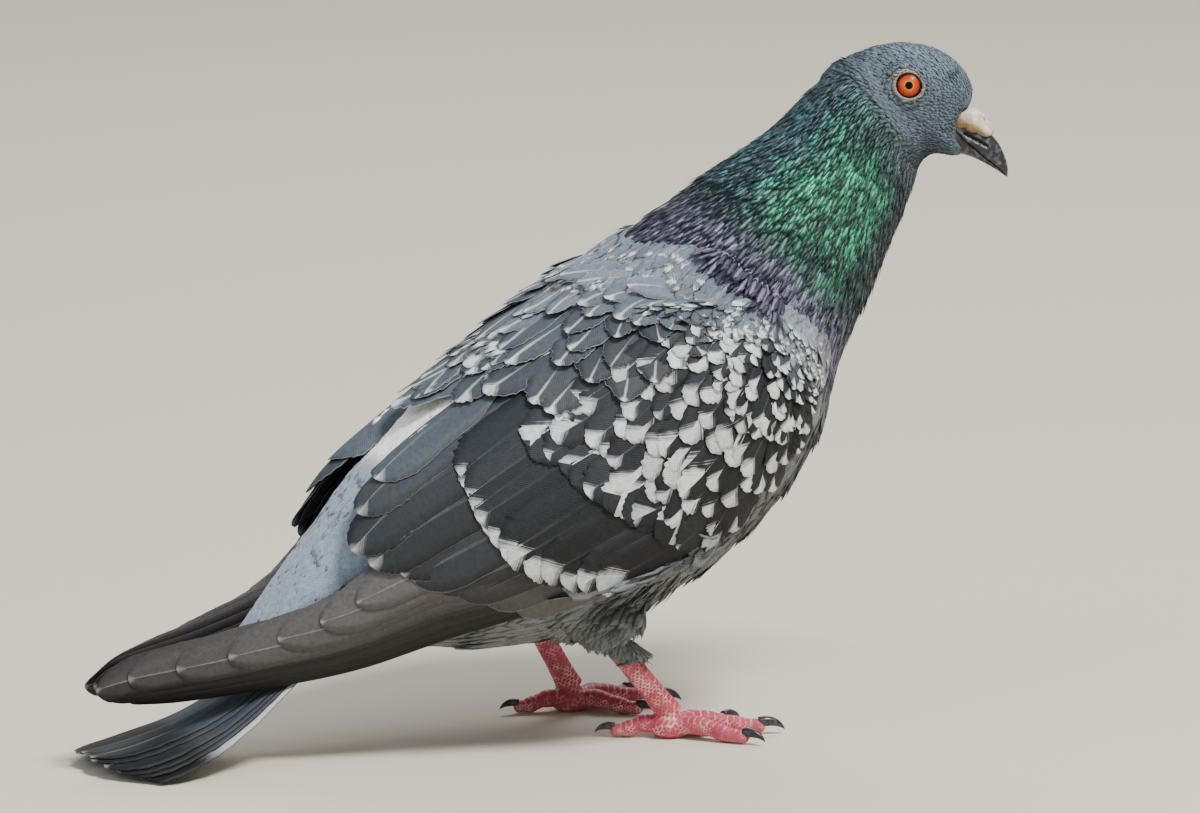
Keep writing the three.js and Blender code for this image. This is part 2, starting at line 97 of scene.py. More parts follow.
def set_inputs(tree, node, inputs):
    """Inputs by name or number; each is a value, a hex colour, a socket, or a node's first output."""
    for key, value in inputs.items():
        if isinstance(value, bpy.types.Node):
            value = value.outputs[0]
        if isinstance(value, bpy.types.NodeSocket):
            tree.links.new(value, node.inputs[key])
        elif isinstance(value, str) and value.startswith("#"):
            node.inputs[key].default_value = (*linear(value), 1)
        else:
            node.inputs[key].default_value = value


def add_node(tree, kind, inputs=None, **settings):
    """Adds one node with its settings and links."""
    node = tree.nodes.new(kind)
    for key, value in settings.items():
        setattr(node, key, value)
    set_inputs(tree, node, inputs or {})
    return node


def new_material(name):
    material = bpy.data.materials.new(name)
    material.use_nodes = True
    tree = material.node_tree
    return material, tree, tree.nodes["Principled BSDF"]


# %% Floor, lamps and sky
FLOOR_SIZE = 6.0


def floor_plane():
    half = FLOOR_SIZE / 2
    mesh = bpy.data.meshes.new("floor")
    corners = [(-half, -half, 0), (half, -half, 0), (half, half, 0), (-half, half, 0)]
    mesh.from_pydata(corners, [], [(0, 1, 2, 3)])
    material, tree, shader = new_material("Pale matt studio floor")
    set_inputs(tree, shader, {"Base Color": "#d9d3c4", "Roughness": 0.9})
    mesh.materials.append(material)
    in_scene("floor", mesh)


def lamp(name, turn, rise, distance, size, watts, hex_code):
    data = bpy.data.lights.new(name, "AREA")
    data.size = size
    data.energy = watts
    data.color = linear(hex_code)
    light = in_scene(name, data)
    light.location = around_aim(math.radians(turn), math.radians(rise), distance)
    light.rotation_euler = (AIM - light.location).to_track_quat("-Z", "Y").to_euler()


floor_plane()
lamp("key lamp", 20, 58, 1.6, 0.42, 36, "#fffaf3")
lamp("fill lamp", -75, 30, 1.8, 1.0, 9, "#dfe9ff")
lamp("rim lamp", 150, 45, 1.7, 0.8, 12, "#ffffff")
world = bpy.data.worlds.new("studio")
world.use_nodes = True
sky = world.node_tree.nodes["Background"]
set_inputs(world.node_tree, sky, {"Color": "#e6e4dd", "Strength": 0.5})
bpy.context.scene.world = world
print("floor, three lamps and a pale sky")

# %% [markdown]
# ## The shape that everything follows
# A pigeon's body is a smooth spindle along its spine, and its folded wing is a curved
# shell beside it. The solids were lofted from short lists of stations. The same lists
# are written here, because feathers must know which way the body runs under them.
# A list of stations with a smooth curve through it is easy to read and to change.

# %% Stations and smooth values between them
STATIONS_AHEAD = 37.32  # the stations' zero lies this far in front of the middle of the bird
# From the tail root to the nape: x, z, half depth, half width.
BODY = [
    (-118, 23, 5, 10), (-103, 33, 11, 15), (-87.5, 41, 19, 20), (-71, 47.5, 26.5, 26),
    (-55, 53, 33.5, 32), (-37, 60.5, 39, 36.5), (-14, 74, 41.5, 40), (5, 90, 39.5, 39),
    (19, 106.5, 32.5, 32), (33.5, 122, 26, 24.5), (45.5, 136, 21, 19.5), (53.5, 147.5, 18.2, 16.5),
    (60.5, 156, 16, 13),
]
# From the wrist to the wing's tip: x, z, lean, height, width, then the upper and the
# lower edge in degrees from the back.
WING = [
    (18.5, 106, 50, 34.5, 34.6, 74, 114), (5, 90, 47, 41, 45, 36, 126), (-14, 73, 40, 43.4, 47, 24, 128),
    (-37, 58, 34, 42.4, 44, 19, 117), (-56, 49, 31, 39, 39, 17, 112), (-75, 41, 24, 34.5, 33, 20, 106),
    (-96, 31, 12, 28, 24, 28, 102), (-117, 24, 6, 24.5, 16, 34, 95), (-136, 21.5, 4, 18.5, 10.5, 38, 96),
    (-150, 20.5, 2, 11, 7.5, 40, 96), (-159, 20, 0, 2.6, 5.5, 40, 98),
]
# From the tail's root to its tip: x, z, half width, arch.
TAIL = [
    (-72, 44, 11, 6), (-98, 30.5, 17, 5.5), (-123, 13.5, 22.5, 5), (-142, 6.5, 26, 4), (-158, 3.4, 20, 2),
]
TAIL_TIP_ROUND = 8
TAIL_TIP_SHARPNESS = 6


def along(stations, share):
    """A smooth curve through a list of stations, at shares 0 to 1 of the way along it."""
    rows = np.array(stations, float)
    rows = np.vstack([2 * rows[0] - rows[1], rows, 2 * rows[-1] - rows[-2]])
    place = np.asarray(share, float) * (len(stations) - 1)
    first = np.clip(place.astype(int), 0, len(stations) - 2)
    t = (place - first)[..., None]
    before, start, end, after = (rows[first + i] for i in range(4))
    leave = (end - before) / 2
    reach = (after - start) / 2
    return (
        (2 * t**3 - 3 * t**2 + 1) * start
        + (t**3 - 2 * t**2 + t) * leave
        + (3 * t**2 - 2 * t**3) * end
        + (t**3 - t**2) * reach
    )


def unit(vectors):
    length = np.linalg.norm(vectors, axis=-1, keepdims=True)
    return vectors / np.maximum(length, 1e-9)


def ramp(value, low, high):
    """0 below low, 1 above high, and smooth between them."""
    t = np.clip((value - low) / (high - low), 0, 1)
    return t * t * (3 - 2 * t)


def mix(a, b, share):
    return a + (b - a) * share


def wing_surface(side):
    """Shell of a folded wing: share along it, then share across it from upper to lower edge."""

    def surface(place):
        x, z, lean, height, width, upper, lower = np.moveaxis(along(WING, place[..., 0]), -1, 0)
        lean = np.radians(lean)
        angle = np.radians(mix(upper, lower, place[..., 1]))
        rise = height * np.cos(angle)
        ahead = x + STATIONS_AHEAD - np.sin(lean) * rise
        return np.stack([ahead, side * width * np.sin(angle), z + np.cos(lean) * rise], -1)

    return surface


def tail_surface(place):
    x, z, width, arch = np.moveaxis(along(TAIL, place[..., 0]), -1, 0)
    across = place[..., 1]
    rounding = TAIL_TIP_ROUND * np.abs(place[..., 0]) ** TAIL_TIP_SHARPNESS * across**2
    return np.stack([x + STATIONS_AHEAD + rounding, width * across, z - arch * across**2], -1)


print("stations:", len(BODY), "of the body,", len(WING), "of a wing,", len(TAIL), "of the tail")

# %% Where the spine and the head lie
HEAD_PLACE = np.array([64.9 + STATIONS_AHEAD, -7, 159.3])
HEAD_TURN = math.radians(-37)
HEAD_NOD = math.radians(25)
HEAD_AXES = np.array(Matrix.Rotation(HEAD_TURN, 3, "Z") @ Matrix.Rotation(HEAD_NOD, 3, "Y"))
# The top of the neck leans to the right by a little, from this share along the spine on.
NECK_LEAN = 1.5
NECK_LEAN_FROM = 0.72
SPINE_SAMPLES = 500
POINTS_AT_ONCE = 4000
spine_share = np.linspace(0, 1, SPINE_SAMPLES)
spine_row = along(BODY, spine_share)
spine_lean = -NECK_LEAN * ramp(spine_share, NECK_LEAN_FROM, 1)
spine_point = np.stack([spine_row[:, 0] + STATIONS_AHEAD, spine_lean, spine_row[:, 1]], -1)
spine_forward = unit(np.gradient(spine_point, axis=0))


def on_head(points):
    """From the head's own frame to the bird's: x to the bill, y to the bird's left, z up."""
    return HEAD_PLACE + np.asarray(points, float) @ HEAD_AXES.T


def in_head(points):
    return (points - HEAD_PLACE) @ HEAD_AXES


def spine_coordinates(points):
    """Share along the spine, angle from the back in degrees (positive on the left), and forward there."""
    nearest = np.empty(len(points), int)
    for start in range(0, len(points), POINTS_AT_ONCE):
        part = slice(start, start + POINTS_AT_ONCE)
        nearest[part] = ((points[part, None] - spine_point) ** 2).sum(-1).argmin(1)
    forward = spine_forward[nearest]
    offset = points - spine_point[nearest]
    back = np.cross(forward, [0, 1, 0])
    angle = np.degrees(np.arctan2(offset[:, 1], (offset * back).sum(-1)))
    return spine_share[nearest], angle, forward


print("the head looks along", HEAD_AXES[:, 0].round(2))

# %% [markdown]
# ## Skin
# Under the feathers a bird has one smooth skin. Making it from one voxel remesh of all
# flesh pieces leaves no seam between head, neck, trunk, rump and thighs. It is then drawn
# in by the depth of the coat, so that the feathers fill the space up to the true outline.
# The skin also carries the markings and the lie of the coat as attributes, and every small
# feather later takes its colour from the place where it grows.

# %% Meshes from arrays
def new_object(name, points, faces):
    """A mesh object from points in millimetres."""
    mesh = bpy.data.meshes.new(name)
    mesh.from_pydata((np.asarray(points, float) * MM).tolist(), [], [list(map(int, f)) for f in faces])
    mesh.shade_smooth()
    return in_scene(name, mesh)


def points_of(mesh):
    flat = np.empty(len(mesh.vertices) * 3)
    mesh.vertices.foreach_get("co", flat)
    return flat.reshape(-1, 3) / MM


def move_points(mesh, points):
    mesh.vertices.foreach_set("co", (points * MM).ravel())
    mesh.update()


def normals_of(mesh):
    flat = np.empty(len(mesh.vertices) * 3)
    mesh.vertex_normals.foreach_get("vector", flat)
    return flat.reshape(-1, 3)


def keep(made, slot, *nodes):
    """Finishes a piece: it rides on the only body and stands for its solids, which it hides. The
    argument slot is not used.
    """
    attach(made, "root")
    if nodes:
        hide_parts(*nodes)
    return made


def baked(made):
    """Turns an object with modifiers into a plain one."""
    graph = bpy.context.evaluated_depsgraph_get()
    mesh = bpy.data.meshes.new_from_object(made.evaluated_get(graph))
    made.modifiers.clear()
    old = made.data
    made.data = mesh
    mesh.name = made.name
    bpy.data.meshes.remove(old)
    return made


def remeshed(made, voxel, smoothing):
    """Turns overlapping closed shapes into one mesh with softened joints."""
    remesh = made.modifiers.new("one mesh", "REMESH")
    remesh.mode = "VOXEL"
    remesh.voxel_size = voxel * MM
    made.modifiers.new("smooth", "SMOOTH").iterations = smoothing
    baked(made)
    made.data.shade_smooth()
    return made


def store(mesh, name, kind, values):
    """Stores one value for each point; kind is FLOAT, FLOAT_VECTOR or FLOAT_COLOR."""
    layer = mesh.attributes.new(name, kind, "POINT")
    field = {"FLOAT": "value", "FLOAT_VECTOR": "vector", "FLOAT_COLOR": "color"}[kind]
    values = np.asarray(values, float)
    if kind == "FLOAT_COLOR":
        values = np.concatenate([values, np.ones((len(values), 1))], 1)
    layer.data.foreach_set(field, values.ravel())


# %% One skin from all flesh
FLESH = ["head", "neck", "trunk", "rump", "thigh_right", "thigh_left"]
# These close the holes that the skin would have under the wings and eyes.
UNDER_SKIN = ["wing_right_coverts", "wing_left_coverts", "eye_right", "eye_left"]
# The cuts between the solids are 0.3 wide, so the copies are swollen a little to close them.
SWELL = 0.35
SAME_POINT = 0.01
SKIN_VOXEL = 1.3
SKIN_SMOOTHING = 6


def merged_copies(name, nodes):
    """Copies of solids in one mesh; the solids themselves are left alone."""
    union = bmesh.new()
    for node in nodes:
        union.from_mesh(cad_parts[node].data)
    bmesh.ops.remove_doubles(union, verts=union.verts, dist=SAME_POINT * MM)
    mesh = bpy.data.meshes.new(name)
    union.to_mesh(mesh)
    union.free()
    return in_scene(name, mesh)


skin = merged_copies("skin", FLESH + UNDER_SKIN)
swell = skin.modifiers.new("swell", "DISPLACE")
swell.strength = SWELL * MM
swell.mid_level = 0
remeshed(skin, SKIN_VOXEL, SKIN_SMOOTHING)
print("skin has", len(skin.data.polygons), "faces before the lids are refined")


# %% Where the eyes are, and a finer mesh around them
EYE_SET = 8.1
EYE_FACING = (0.1, 1, 0.26)
LID_MIDDLE = [0, 0, 3.5]
LID_REACH = 6.5
LID_SPLITS = 3


def refine(mesh, near, rounds):
    """Splits the edges that lie near a place, so that small folds can be shaped there."""
    fine = bmesh.new()
    fine.from_mesh(mesh)
    for _ in range(rounds):
        middles = np.array([(e.verts[0].co + e.verts[1].co) / 2 for e in fine.edges]) / MM
        fine.edges.ensure_lookup_table()
        chosen = [fine.edges[i] for i in np.flatnonzero(near(middles))]
        bmesh.ops.subdivide_edges(fine, edges=chosen, cuts=1, use_grid_fill=True)
    fine.to_mesh(mesh)
    fine.free()


def eye_axes(sign):
    """Forward, up and outward of one eye, in the head's frame."""
    out = unit(np.array([EYE_FACING[0], sign * EYE_FACING[1], EYE_FACING[2]]))
    forward = unit(np.array([1.0, 0, 0]) - out[0] * out)
    return np.stack([forward, np.cross(forward, out) * sign, out])


def from_eye(local):
    """Place around the nearer eyeball's middle, along the eye's forward, up and outward axes."""
    seen = np.empty(local.shape)
    for sign in SIDES.values():
        mine = local[:, 1] * sign >= 0
        seen[mine] = (local[mine] - [0, sign * EYE_SET, 0]) @ eye_axes(sign).T
    return seen


def lid_distance(points):
    """How far points lie from the middle of the opening between the nearer eye's lids."""
    return np.linalg.norm(from_eye(in_head(points)) - LID_MIDDLE, axis=-1)


refine(skin.data, lambda middles: lid_distance(middles) < LID_REACH, LID_SPLITS)
skin.data.shade_smooth()
print("skin has", len(skin.data.polygons), "faces")

# %% Regions of the coat on the skin
points = points_of(skin.data)
share, angle, forward = spine_coordinates(points)
side_angle = np.abs(angle)
headward = in_head(points)


def ellipsoid_depth(local, centre, radii):
    """Less than 1 inside an ellipsoid and more outside."""
    return np.sqrt((((local - np.array(centre)) / np.array(radii)) ** 2).sum(-1))


# The skull as an ellipsoid in the head's frame: middle, then radii.
SKULL = (-1, 0, -3.5), (21, 14.5, 17)
THIGH_AXES = {"right": (13.5, -20), "left": (9, 20)}
THIGH_EDGE = (13, 17)
THIGH_TOP = (31, 37)
HANGING_TOP = (28, 37)
HANGING = np.array([-0.15, 0, -1.0])
head_share = (1 - ramp(ellipsoid_depth(headward, *SKULL), 1.02, 1.16)) * ramp(headward[:, 2], -24, -13)
eye_distance = lid_distance(points)
neck_share = ramp(share, 0.665, 0.75) * (1 - head_share)
thigh_share = np.zeros(len(points))
for axis_x, axis_y in THIGH_AXES.values():
    away = np.hypot(points[:, 0] - axis_x, points[:, 1] - axis_y)
    thigh = (1 - ramp(away, *THIGH_EDGE)) * (1 - ramp(points[:, 2], *THIGH_TOP))
    thigh_share = np.maximum(thigh_share, thigh)
# The coat lies backwards on the body, away from the bill on the head, and down on the thighs.
lie = mix(-forward, np.broadcast_to(-HEAD_AXES[:, 0], forward.shape), head_share[:, None])
hanging = thigh_share * (1 - ramp(points[:, 2], *HANGING_TOP))
lie = unit(mix(lie, HANGING, hanging[:, None]))
for region, region_share in {"head": head_share, "neck": neck_share, "thighs": thigh_share}.items():
    print(region, "has about", int(region_share.sum()), "points")

# %% Which part of the skin lies under or beside a wing
WING_GRID = np.stack(np.meshgrid(np.linspace(0, 1, 161), np.linspace(-0.7, 1.1, 91), indexing="ij"), -1)


def places_on_wings(points, reach):
    """(share along, share across) of the wing nearest to each point, or (2, 2) beyond its reach."""
    places = np.full((len(points), 2), 2.0)
    for sign in SIDES.values():
        samples = wing_surface(sign)(WING_GRID).reshape(-1, 3)
        tree = KDTree(len(samples))
        for i, sample in enumerate(samples):
            tree.insert(sample, i)
        tree.balance()
        for i in np.flatnonzero(points[:, 1] * sign > -3):
            _, nearest, away = tree.find(points[i])
            if away < reach:
                places[i] = WING_GRID.reshape(-1, 2)[nearest]
    return places


# Below this share across the wing, the flank feathers lie over its edge.
WING_FOOT = 0.94
WING_NEARNESS = 5.0
# Soft contour feathers of the shoulder hide the front of the wing up to this line:
# shares across the wing, then the share along it for each.
SHOULDER_LINE = (
    [-0.7, -0.28, -0.1, 0.12, 0.3, 0.6, 1.1],
    [0.17, 0.17, 0.125, 0.08, 0.045, 0.03, 0.03],
)
on_wing = places_on_wings(points, WING_NEARNESS)
shoulder_end = np.interp(on_wing[:, 1], *SHOULDER_LINE)
shoulder = on_wing[:, 0] < shoulder_end
wrist = shoulder & (on_wing[:, 1] > 0.3) & (on_wing[:, 0] < 0.03)
flank = (on_wing[:, 0] < 0.3) & (on_wing[:, 1] > WING_FOOT - 0.02)
wing_front = (shoulder & (on_wing[:, 0] > 0.006)) | wrist
print("on the shoulders", int(shoulder.sum()), "points, on the flanks", int(flank.sum()))

# %% Ankles, chin and the depth of the coat
# For each leg: place sideways, ankle and foot as (x, z) with x from the stations' zero,
# the turn of its toes in degrees, and the sign that mirrors them.
LEGS = {
    "right": {"y": -20, "ankle": (-26, 27.5), "foot": (-8.5, 6), "turn": -17, "mirror": 1},
    "left": {"y": 20, "ankle": (-30.5, 28.5), "foot": (-18, 6), "turn": 10, "mirror": -1},
}
# Under its feathers the leg narrows to the ankle and bends forward with the tarsus.
ANKLE_WAIST = 0.74
WAIST_HEIGHTS = (20, 33)
BEND_HEIGHTS = (24, 31)
for side_name, leg in LEGS.items():
    own_side = np.sign(points[:, 1]) == SIDES[side_name]
    low = (thigh_share > 0.5) & (points[:, 2] < WAIST_HEIGHTS[1]) & own_side
    height = points[low, 2]
    down = (leg["ankle"][1] - height) / (leg["ankle"][1] - leg["foot"][1])
    shank_x = mix(leg["ankle"][0], leg["foot"][0], down) + STATIONS_AHEAD
    bend = 1 - ramp(height, *BEND_HEIGHTS)
    for axis, shank in enumerate((shank_x, 0 * down + leg["y"])):
        middle = np.polyval(np.polyfit(height, points[low, axis], 1), height)
        offset = (points[low, axis] - middle) * mix(ANKLE_WAIST, 1, ramp(height, *WAIST_HEIGHTS))
        points[low, axis] = mix(middle, shank, bend) + offset
# The feathered chin reaches forward under the bill.
CHIN_REACH = 2.6
below_gape = 1 - ramp(headward[:, 2], -8.6, -6.8)
above_throat = 1 - ramp(-headward[:, 2], 12.5, 14.5)
chin = ramp(headward[:, 0], 11, 15) * below_gape * above_throat
points = points + CHIN_REACH * chin[:, None] * HEAD_AXES[:, 0]
move_points(skin.data, points)
# How deep the coat is, in millimetres; the back between the wings lies flat.
COAT_DEPTH = {"head": 0.75, "neck": 1.5, "body": 2.2, "thigh": 1.3, "shoulder": 1.0, "back": 0.1}
depth = mix(COAT_DEPTH["body"], COAT_DEPTH["neck"], neck_share)
depth = mix(depth, COAT_DEPTH["head"], head_share)
depth = mix(depth, COAT_DEPTH["thigh"], thigh_share)
depth = mix(depth, COAT_DEPTH["shoulder"], 1 - ramp(on_wing[:, 0] / shoulder_end, 0.7, 1.15))
back_share = ramp(share, 0.14, 0.24) * (1 - ramp(share, 0.44, 0.5)) * (1 - ramp(side_angle, 16, 26))
depth = mix(depth, COAT_DEPTH["back"], back_share)
move_points(skin.data, points - normals_of(skin.data) * (depth + SWELL)[:, None])
points = points_of(skin.data)
print("coat is", depth.min().round(2), "to", depth.max().round(2), "mm deep")

# %% Lids
# A beaded ring around each eye, a crease around that, and a fold behind the eye.
# Radii and heights are in the eye's own frame.
LID_RING = 3.55
LID_HEIGHT = 3.95
LID_BEADS = 26
LID_RISE = 0.75
LID_OPENING = (2.5, 3.15)
OPENING_DEPTH = 1.8
CREASE_RING = 4.4
CREASE_DEPTH = 0.25
FOLD_DEPTH = 0.3
LID_FADE = (4.2, 6.2)
LID_END = 12


def ridge(value, middle, width):
    """1 at the middle, falling smoothly to 0 on both sides."""
    return np.exp(-(((value - middle) / width) ** 2))


eye_place = from_eye(in_head(points))
lid_out = np.hypot(eye_place[:, 0] / 1.04, eye_place[:, 1] / 0.97)
lid_out = np.where(eye_place[:, 2] > 0, lid_out, 99.0)
bead = np.cos(LID_BEADS * np.arctan2(eye_place[:, 1], eye_place[:, 0]))
crest = LID_RISE * ridge(lid_out, LID_RING, 0.4) * (1 + 0.22 * bead)
rim = LID_HEIGHT - LID_RISE + crest - CREASE_DEPTH * ridge(lid_out, CREASE_RING, 0.3)
rim -= OPENING_DEPTH * (1 - ramp(lid_out, *LID_OPENING))
lid_height = (rim - eye_place[:, 2]) * (1 - ramp(lid_out, *LID_FADE))
fold = ridge(eye_place[:, 1] + 0.3 + 0.06 * eye_place[:, 0], 0, 0.4) * (eye_place[:, 2] > 0)
behind_eye = -eye_place[:, 0]
lid_height -= FOLD_DEPTH * fold * ramp(behind_eye, 3.8, 5) * (1 - ramp(behind_eye, 7, 10))
lid_height = np.where(lid_out < LID_END, lid_height, 0)
left = in_head(points)[:, 1:2] > 0
outward = np.where(left, eye_axes(1)[2], eye_axes(-1)[2]) @ HEAD_AXES.T
move_points(skin.data, points + outward * lid_height[:, None])
points = points_of(skin.data)
print("lids rise up to", lid_height.max().round(2), "mm")

# %% [markdown]
# ## Markings
# The head is slate blue. The neck is dark, green on its sides and violet at its foot, with
# glints painted on some strands. The back is pale grey, the rump pale blue with a white patch,
# the belly mid grey.
# Each mark is a soft mask in the bird's own coordinates: share along the spine, degrees
# round from the back, and place in the head. So skin and feathers agree everywhere.

# %% Colour of the coat at each point of the skin
SLATE = linear("#5c6975")
SLATE_PAINTED_LIGHT = linear("#6d7f8c")
SLATE_DARK = linear("#363f48")
NECK_DARK = linear("#3d464f")
EMERALD = linear("#55cd98")
TEAL = linear("#4b848c")
VIOLET = linear("#8b83a8")
BREAST = linear("#3d434b")
BELLY = linear("#72787c")
MANTLE = linear("#74828f")
SHOULDER_BLUE = linear("#616d79")
WRIST_PALE = linear("#8e9aa7")
BACK = linear("#65707b")
RUMP = linear("#8d9fb0")
WHITE_PATCH = linear("#ffffff")


def blotches(points, size, seed):
    """Smooth noise from -1 to 1 with blotches of about the given size."""
    shift = Vector((seed * 7.3, seed * 3.1, seed * 5.7))
    return np.array([noise.noise(Vector(p) / size + shift) for p in points])


def over(under, colour, mask):
    return mix(under, np.array(colour), np.clip(mask, 0, 1)[:, None])


def coat_colours(share, side, headward, head_share, patches):
    """Colours laid over one another, from the belly and back to the neck and the head."""
    colours = np.tile(np.array(BELLY), (len(share), 1))
    colours = over(colours, BREAST, ramp(share, 0.46, 0.6))
    top = 1 - ramp(side, 62, 92)
    colours = over(colours, BACK, top)
    colours = over(colours, MANTLE, top * ramp(share, 0.46, 0.56))
    rear = 1 - ramp(share, 0.3, 0.38)
    colours = over(colours, RUMP, rear * (1 - ramp(side, 55, 78)))
    patch = ramp(share, 0.25, 0.275) * (1 - ramp(share, 0.42, 0.46)) * (1 - ramp(side, 44, 60))
    colours = over(colours, WHITE_PATCH, patch)
    neck = ramp(share, 0.65, 0.675)
    colours = over(colours, NECK_DARK, neck * 0.9)
    neck_side = ramp(side, 22, 55) * (1 - ramp(side, 92, 138))
    green = ramp(share, 0.68, 0.8) * neck_side * (0.5 + 0.5 * patches)
    colours = over(colours, TEAL, ramp(share, 0.71, 0.78) * (1 - ramp(side, 35, 70)) * 0.7)
    near_head = 1 - ramp(ellipsoid_depth(headward, *SKULL), 1.15, 1.6)
    colours = over(colours, SLATE, near_head * 0.4)
    colours = over(colours, EMERALD, green * (1 - 0.75 * near_head))
    violet = ramp(share, 0.655, 0.67) * (1 - ramp(share, 0.69, 0.74)) * (1 - ramp(side, 120, 160))
    colours = over(colours, VIOLET, violet * 0.9)
    # The face is painted paler towards the crown and darker under the chin: painted light from above and
    # painted shade under the head.
    face = over(np.tile(np.array(SLATE), (len(share), 1)), SLATE_PAINTED_LIGHT, ramp(headward[:, 2], 1, 9))
    face = over(face, SLATE_DARK, 1 - ramp(headward[:, 2], -17, -9))
    face = over(face, SLATE_DARK, (1 - ramp(headward[:, 0], -17, -10)) * 0.6)
    return mix(colours, face, head_share[:, None])


# %% Colours laid on the skin
LID_SKIN = linear("#a89e90")
LID_GAP_SHADE = linear("#1c1816")
LID_WIDTH = 0.5
GAP_RADIUS = 3.2
UNEVEN_COLOUR = 0.07
# A small dark spot on the right of the forehead, painted shade of a gap in the feathers: place
# (x, z) in the head's frame.
NICK = (9.6, 7.4)
NICK_RADII = (0.9, 1.4)
tint = coat_colours(share, side_angle, headward, head_share, blotches(points, 9, 1))
fluff_mottle = ramp(blotches(points, 3.0, 4), -0.2, 0.3)[:, None]
fluff = mix(np.array(SHOULDER_BLUE), np.array(MANTLE), fluff_mottle)
fluff = mix(fluff, np.array(WRIST_PALE), 0.8 * wrist[:, None])
tint = mix(tint, fluff, wing_front[:, None] * 0.95)
tint = over(tint, BELLY, flank * 0.9)
tint *= (1 + UNEVEN_COLOUR * blotches(points, 3.5, 2))[:, None]
tint = over(tint, LID_SKIN, (np.abs(lid_out - LID_RING) < LID_WIDTH) * 0.85)
# Painted shade: the skin inside the lids' opening, in the crease against the eyeball, is near-black.
tint = over(tint, LID_GAP_SHADE, lid_out < GAP_RADIUS)
# Painted shade of the forehead's gap, on the skin and so on the feathers that grow there.
nick_place = [(headward[:, axis] - NICK[i]) / NICK_RADII[i] for i, axis in enumerate((0, 2))]
tint = over(tint, NECK_DARK, ((np.hypot(*nick_place) < 1) & (headward[:, 1] < 0)) * 0.85)
tint = np.clip(tint, 0, 1)
store(skin.data, "tint", "FLOAT_COLOR", tint)
store(skin.data, "lie", "FLOAT_VECTOR", lie)
print("coloured", len(points), "points of the skin")

# %% [markdown]
# ## Feather finishes
# A feather is a shaft with hundreds of barbs, hooked into a soft matt vane. Seen close it
# shows fine slanting lines, a pale shaft and a thin pale fringe. The neck's barbs are flat
# and glossy, which gives a real gloss, and glints are painted on some of its strands. The
# lower edges of primaries and tail feathers carry a painted shadow line. Real barbs lie 0.3 to
# 0.5 mm apart. They are drawn 0.8 mm apart, because finer lines would not show. Every feather
# has the same finish with other settings, so one function makes all of them.

# %% White marks, fringe and shaft of large feathers
WHITE_TIP = "#cfd5da"
SHAFT_PALE = "#c9ced2"


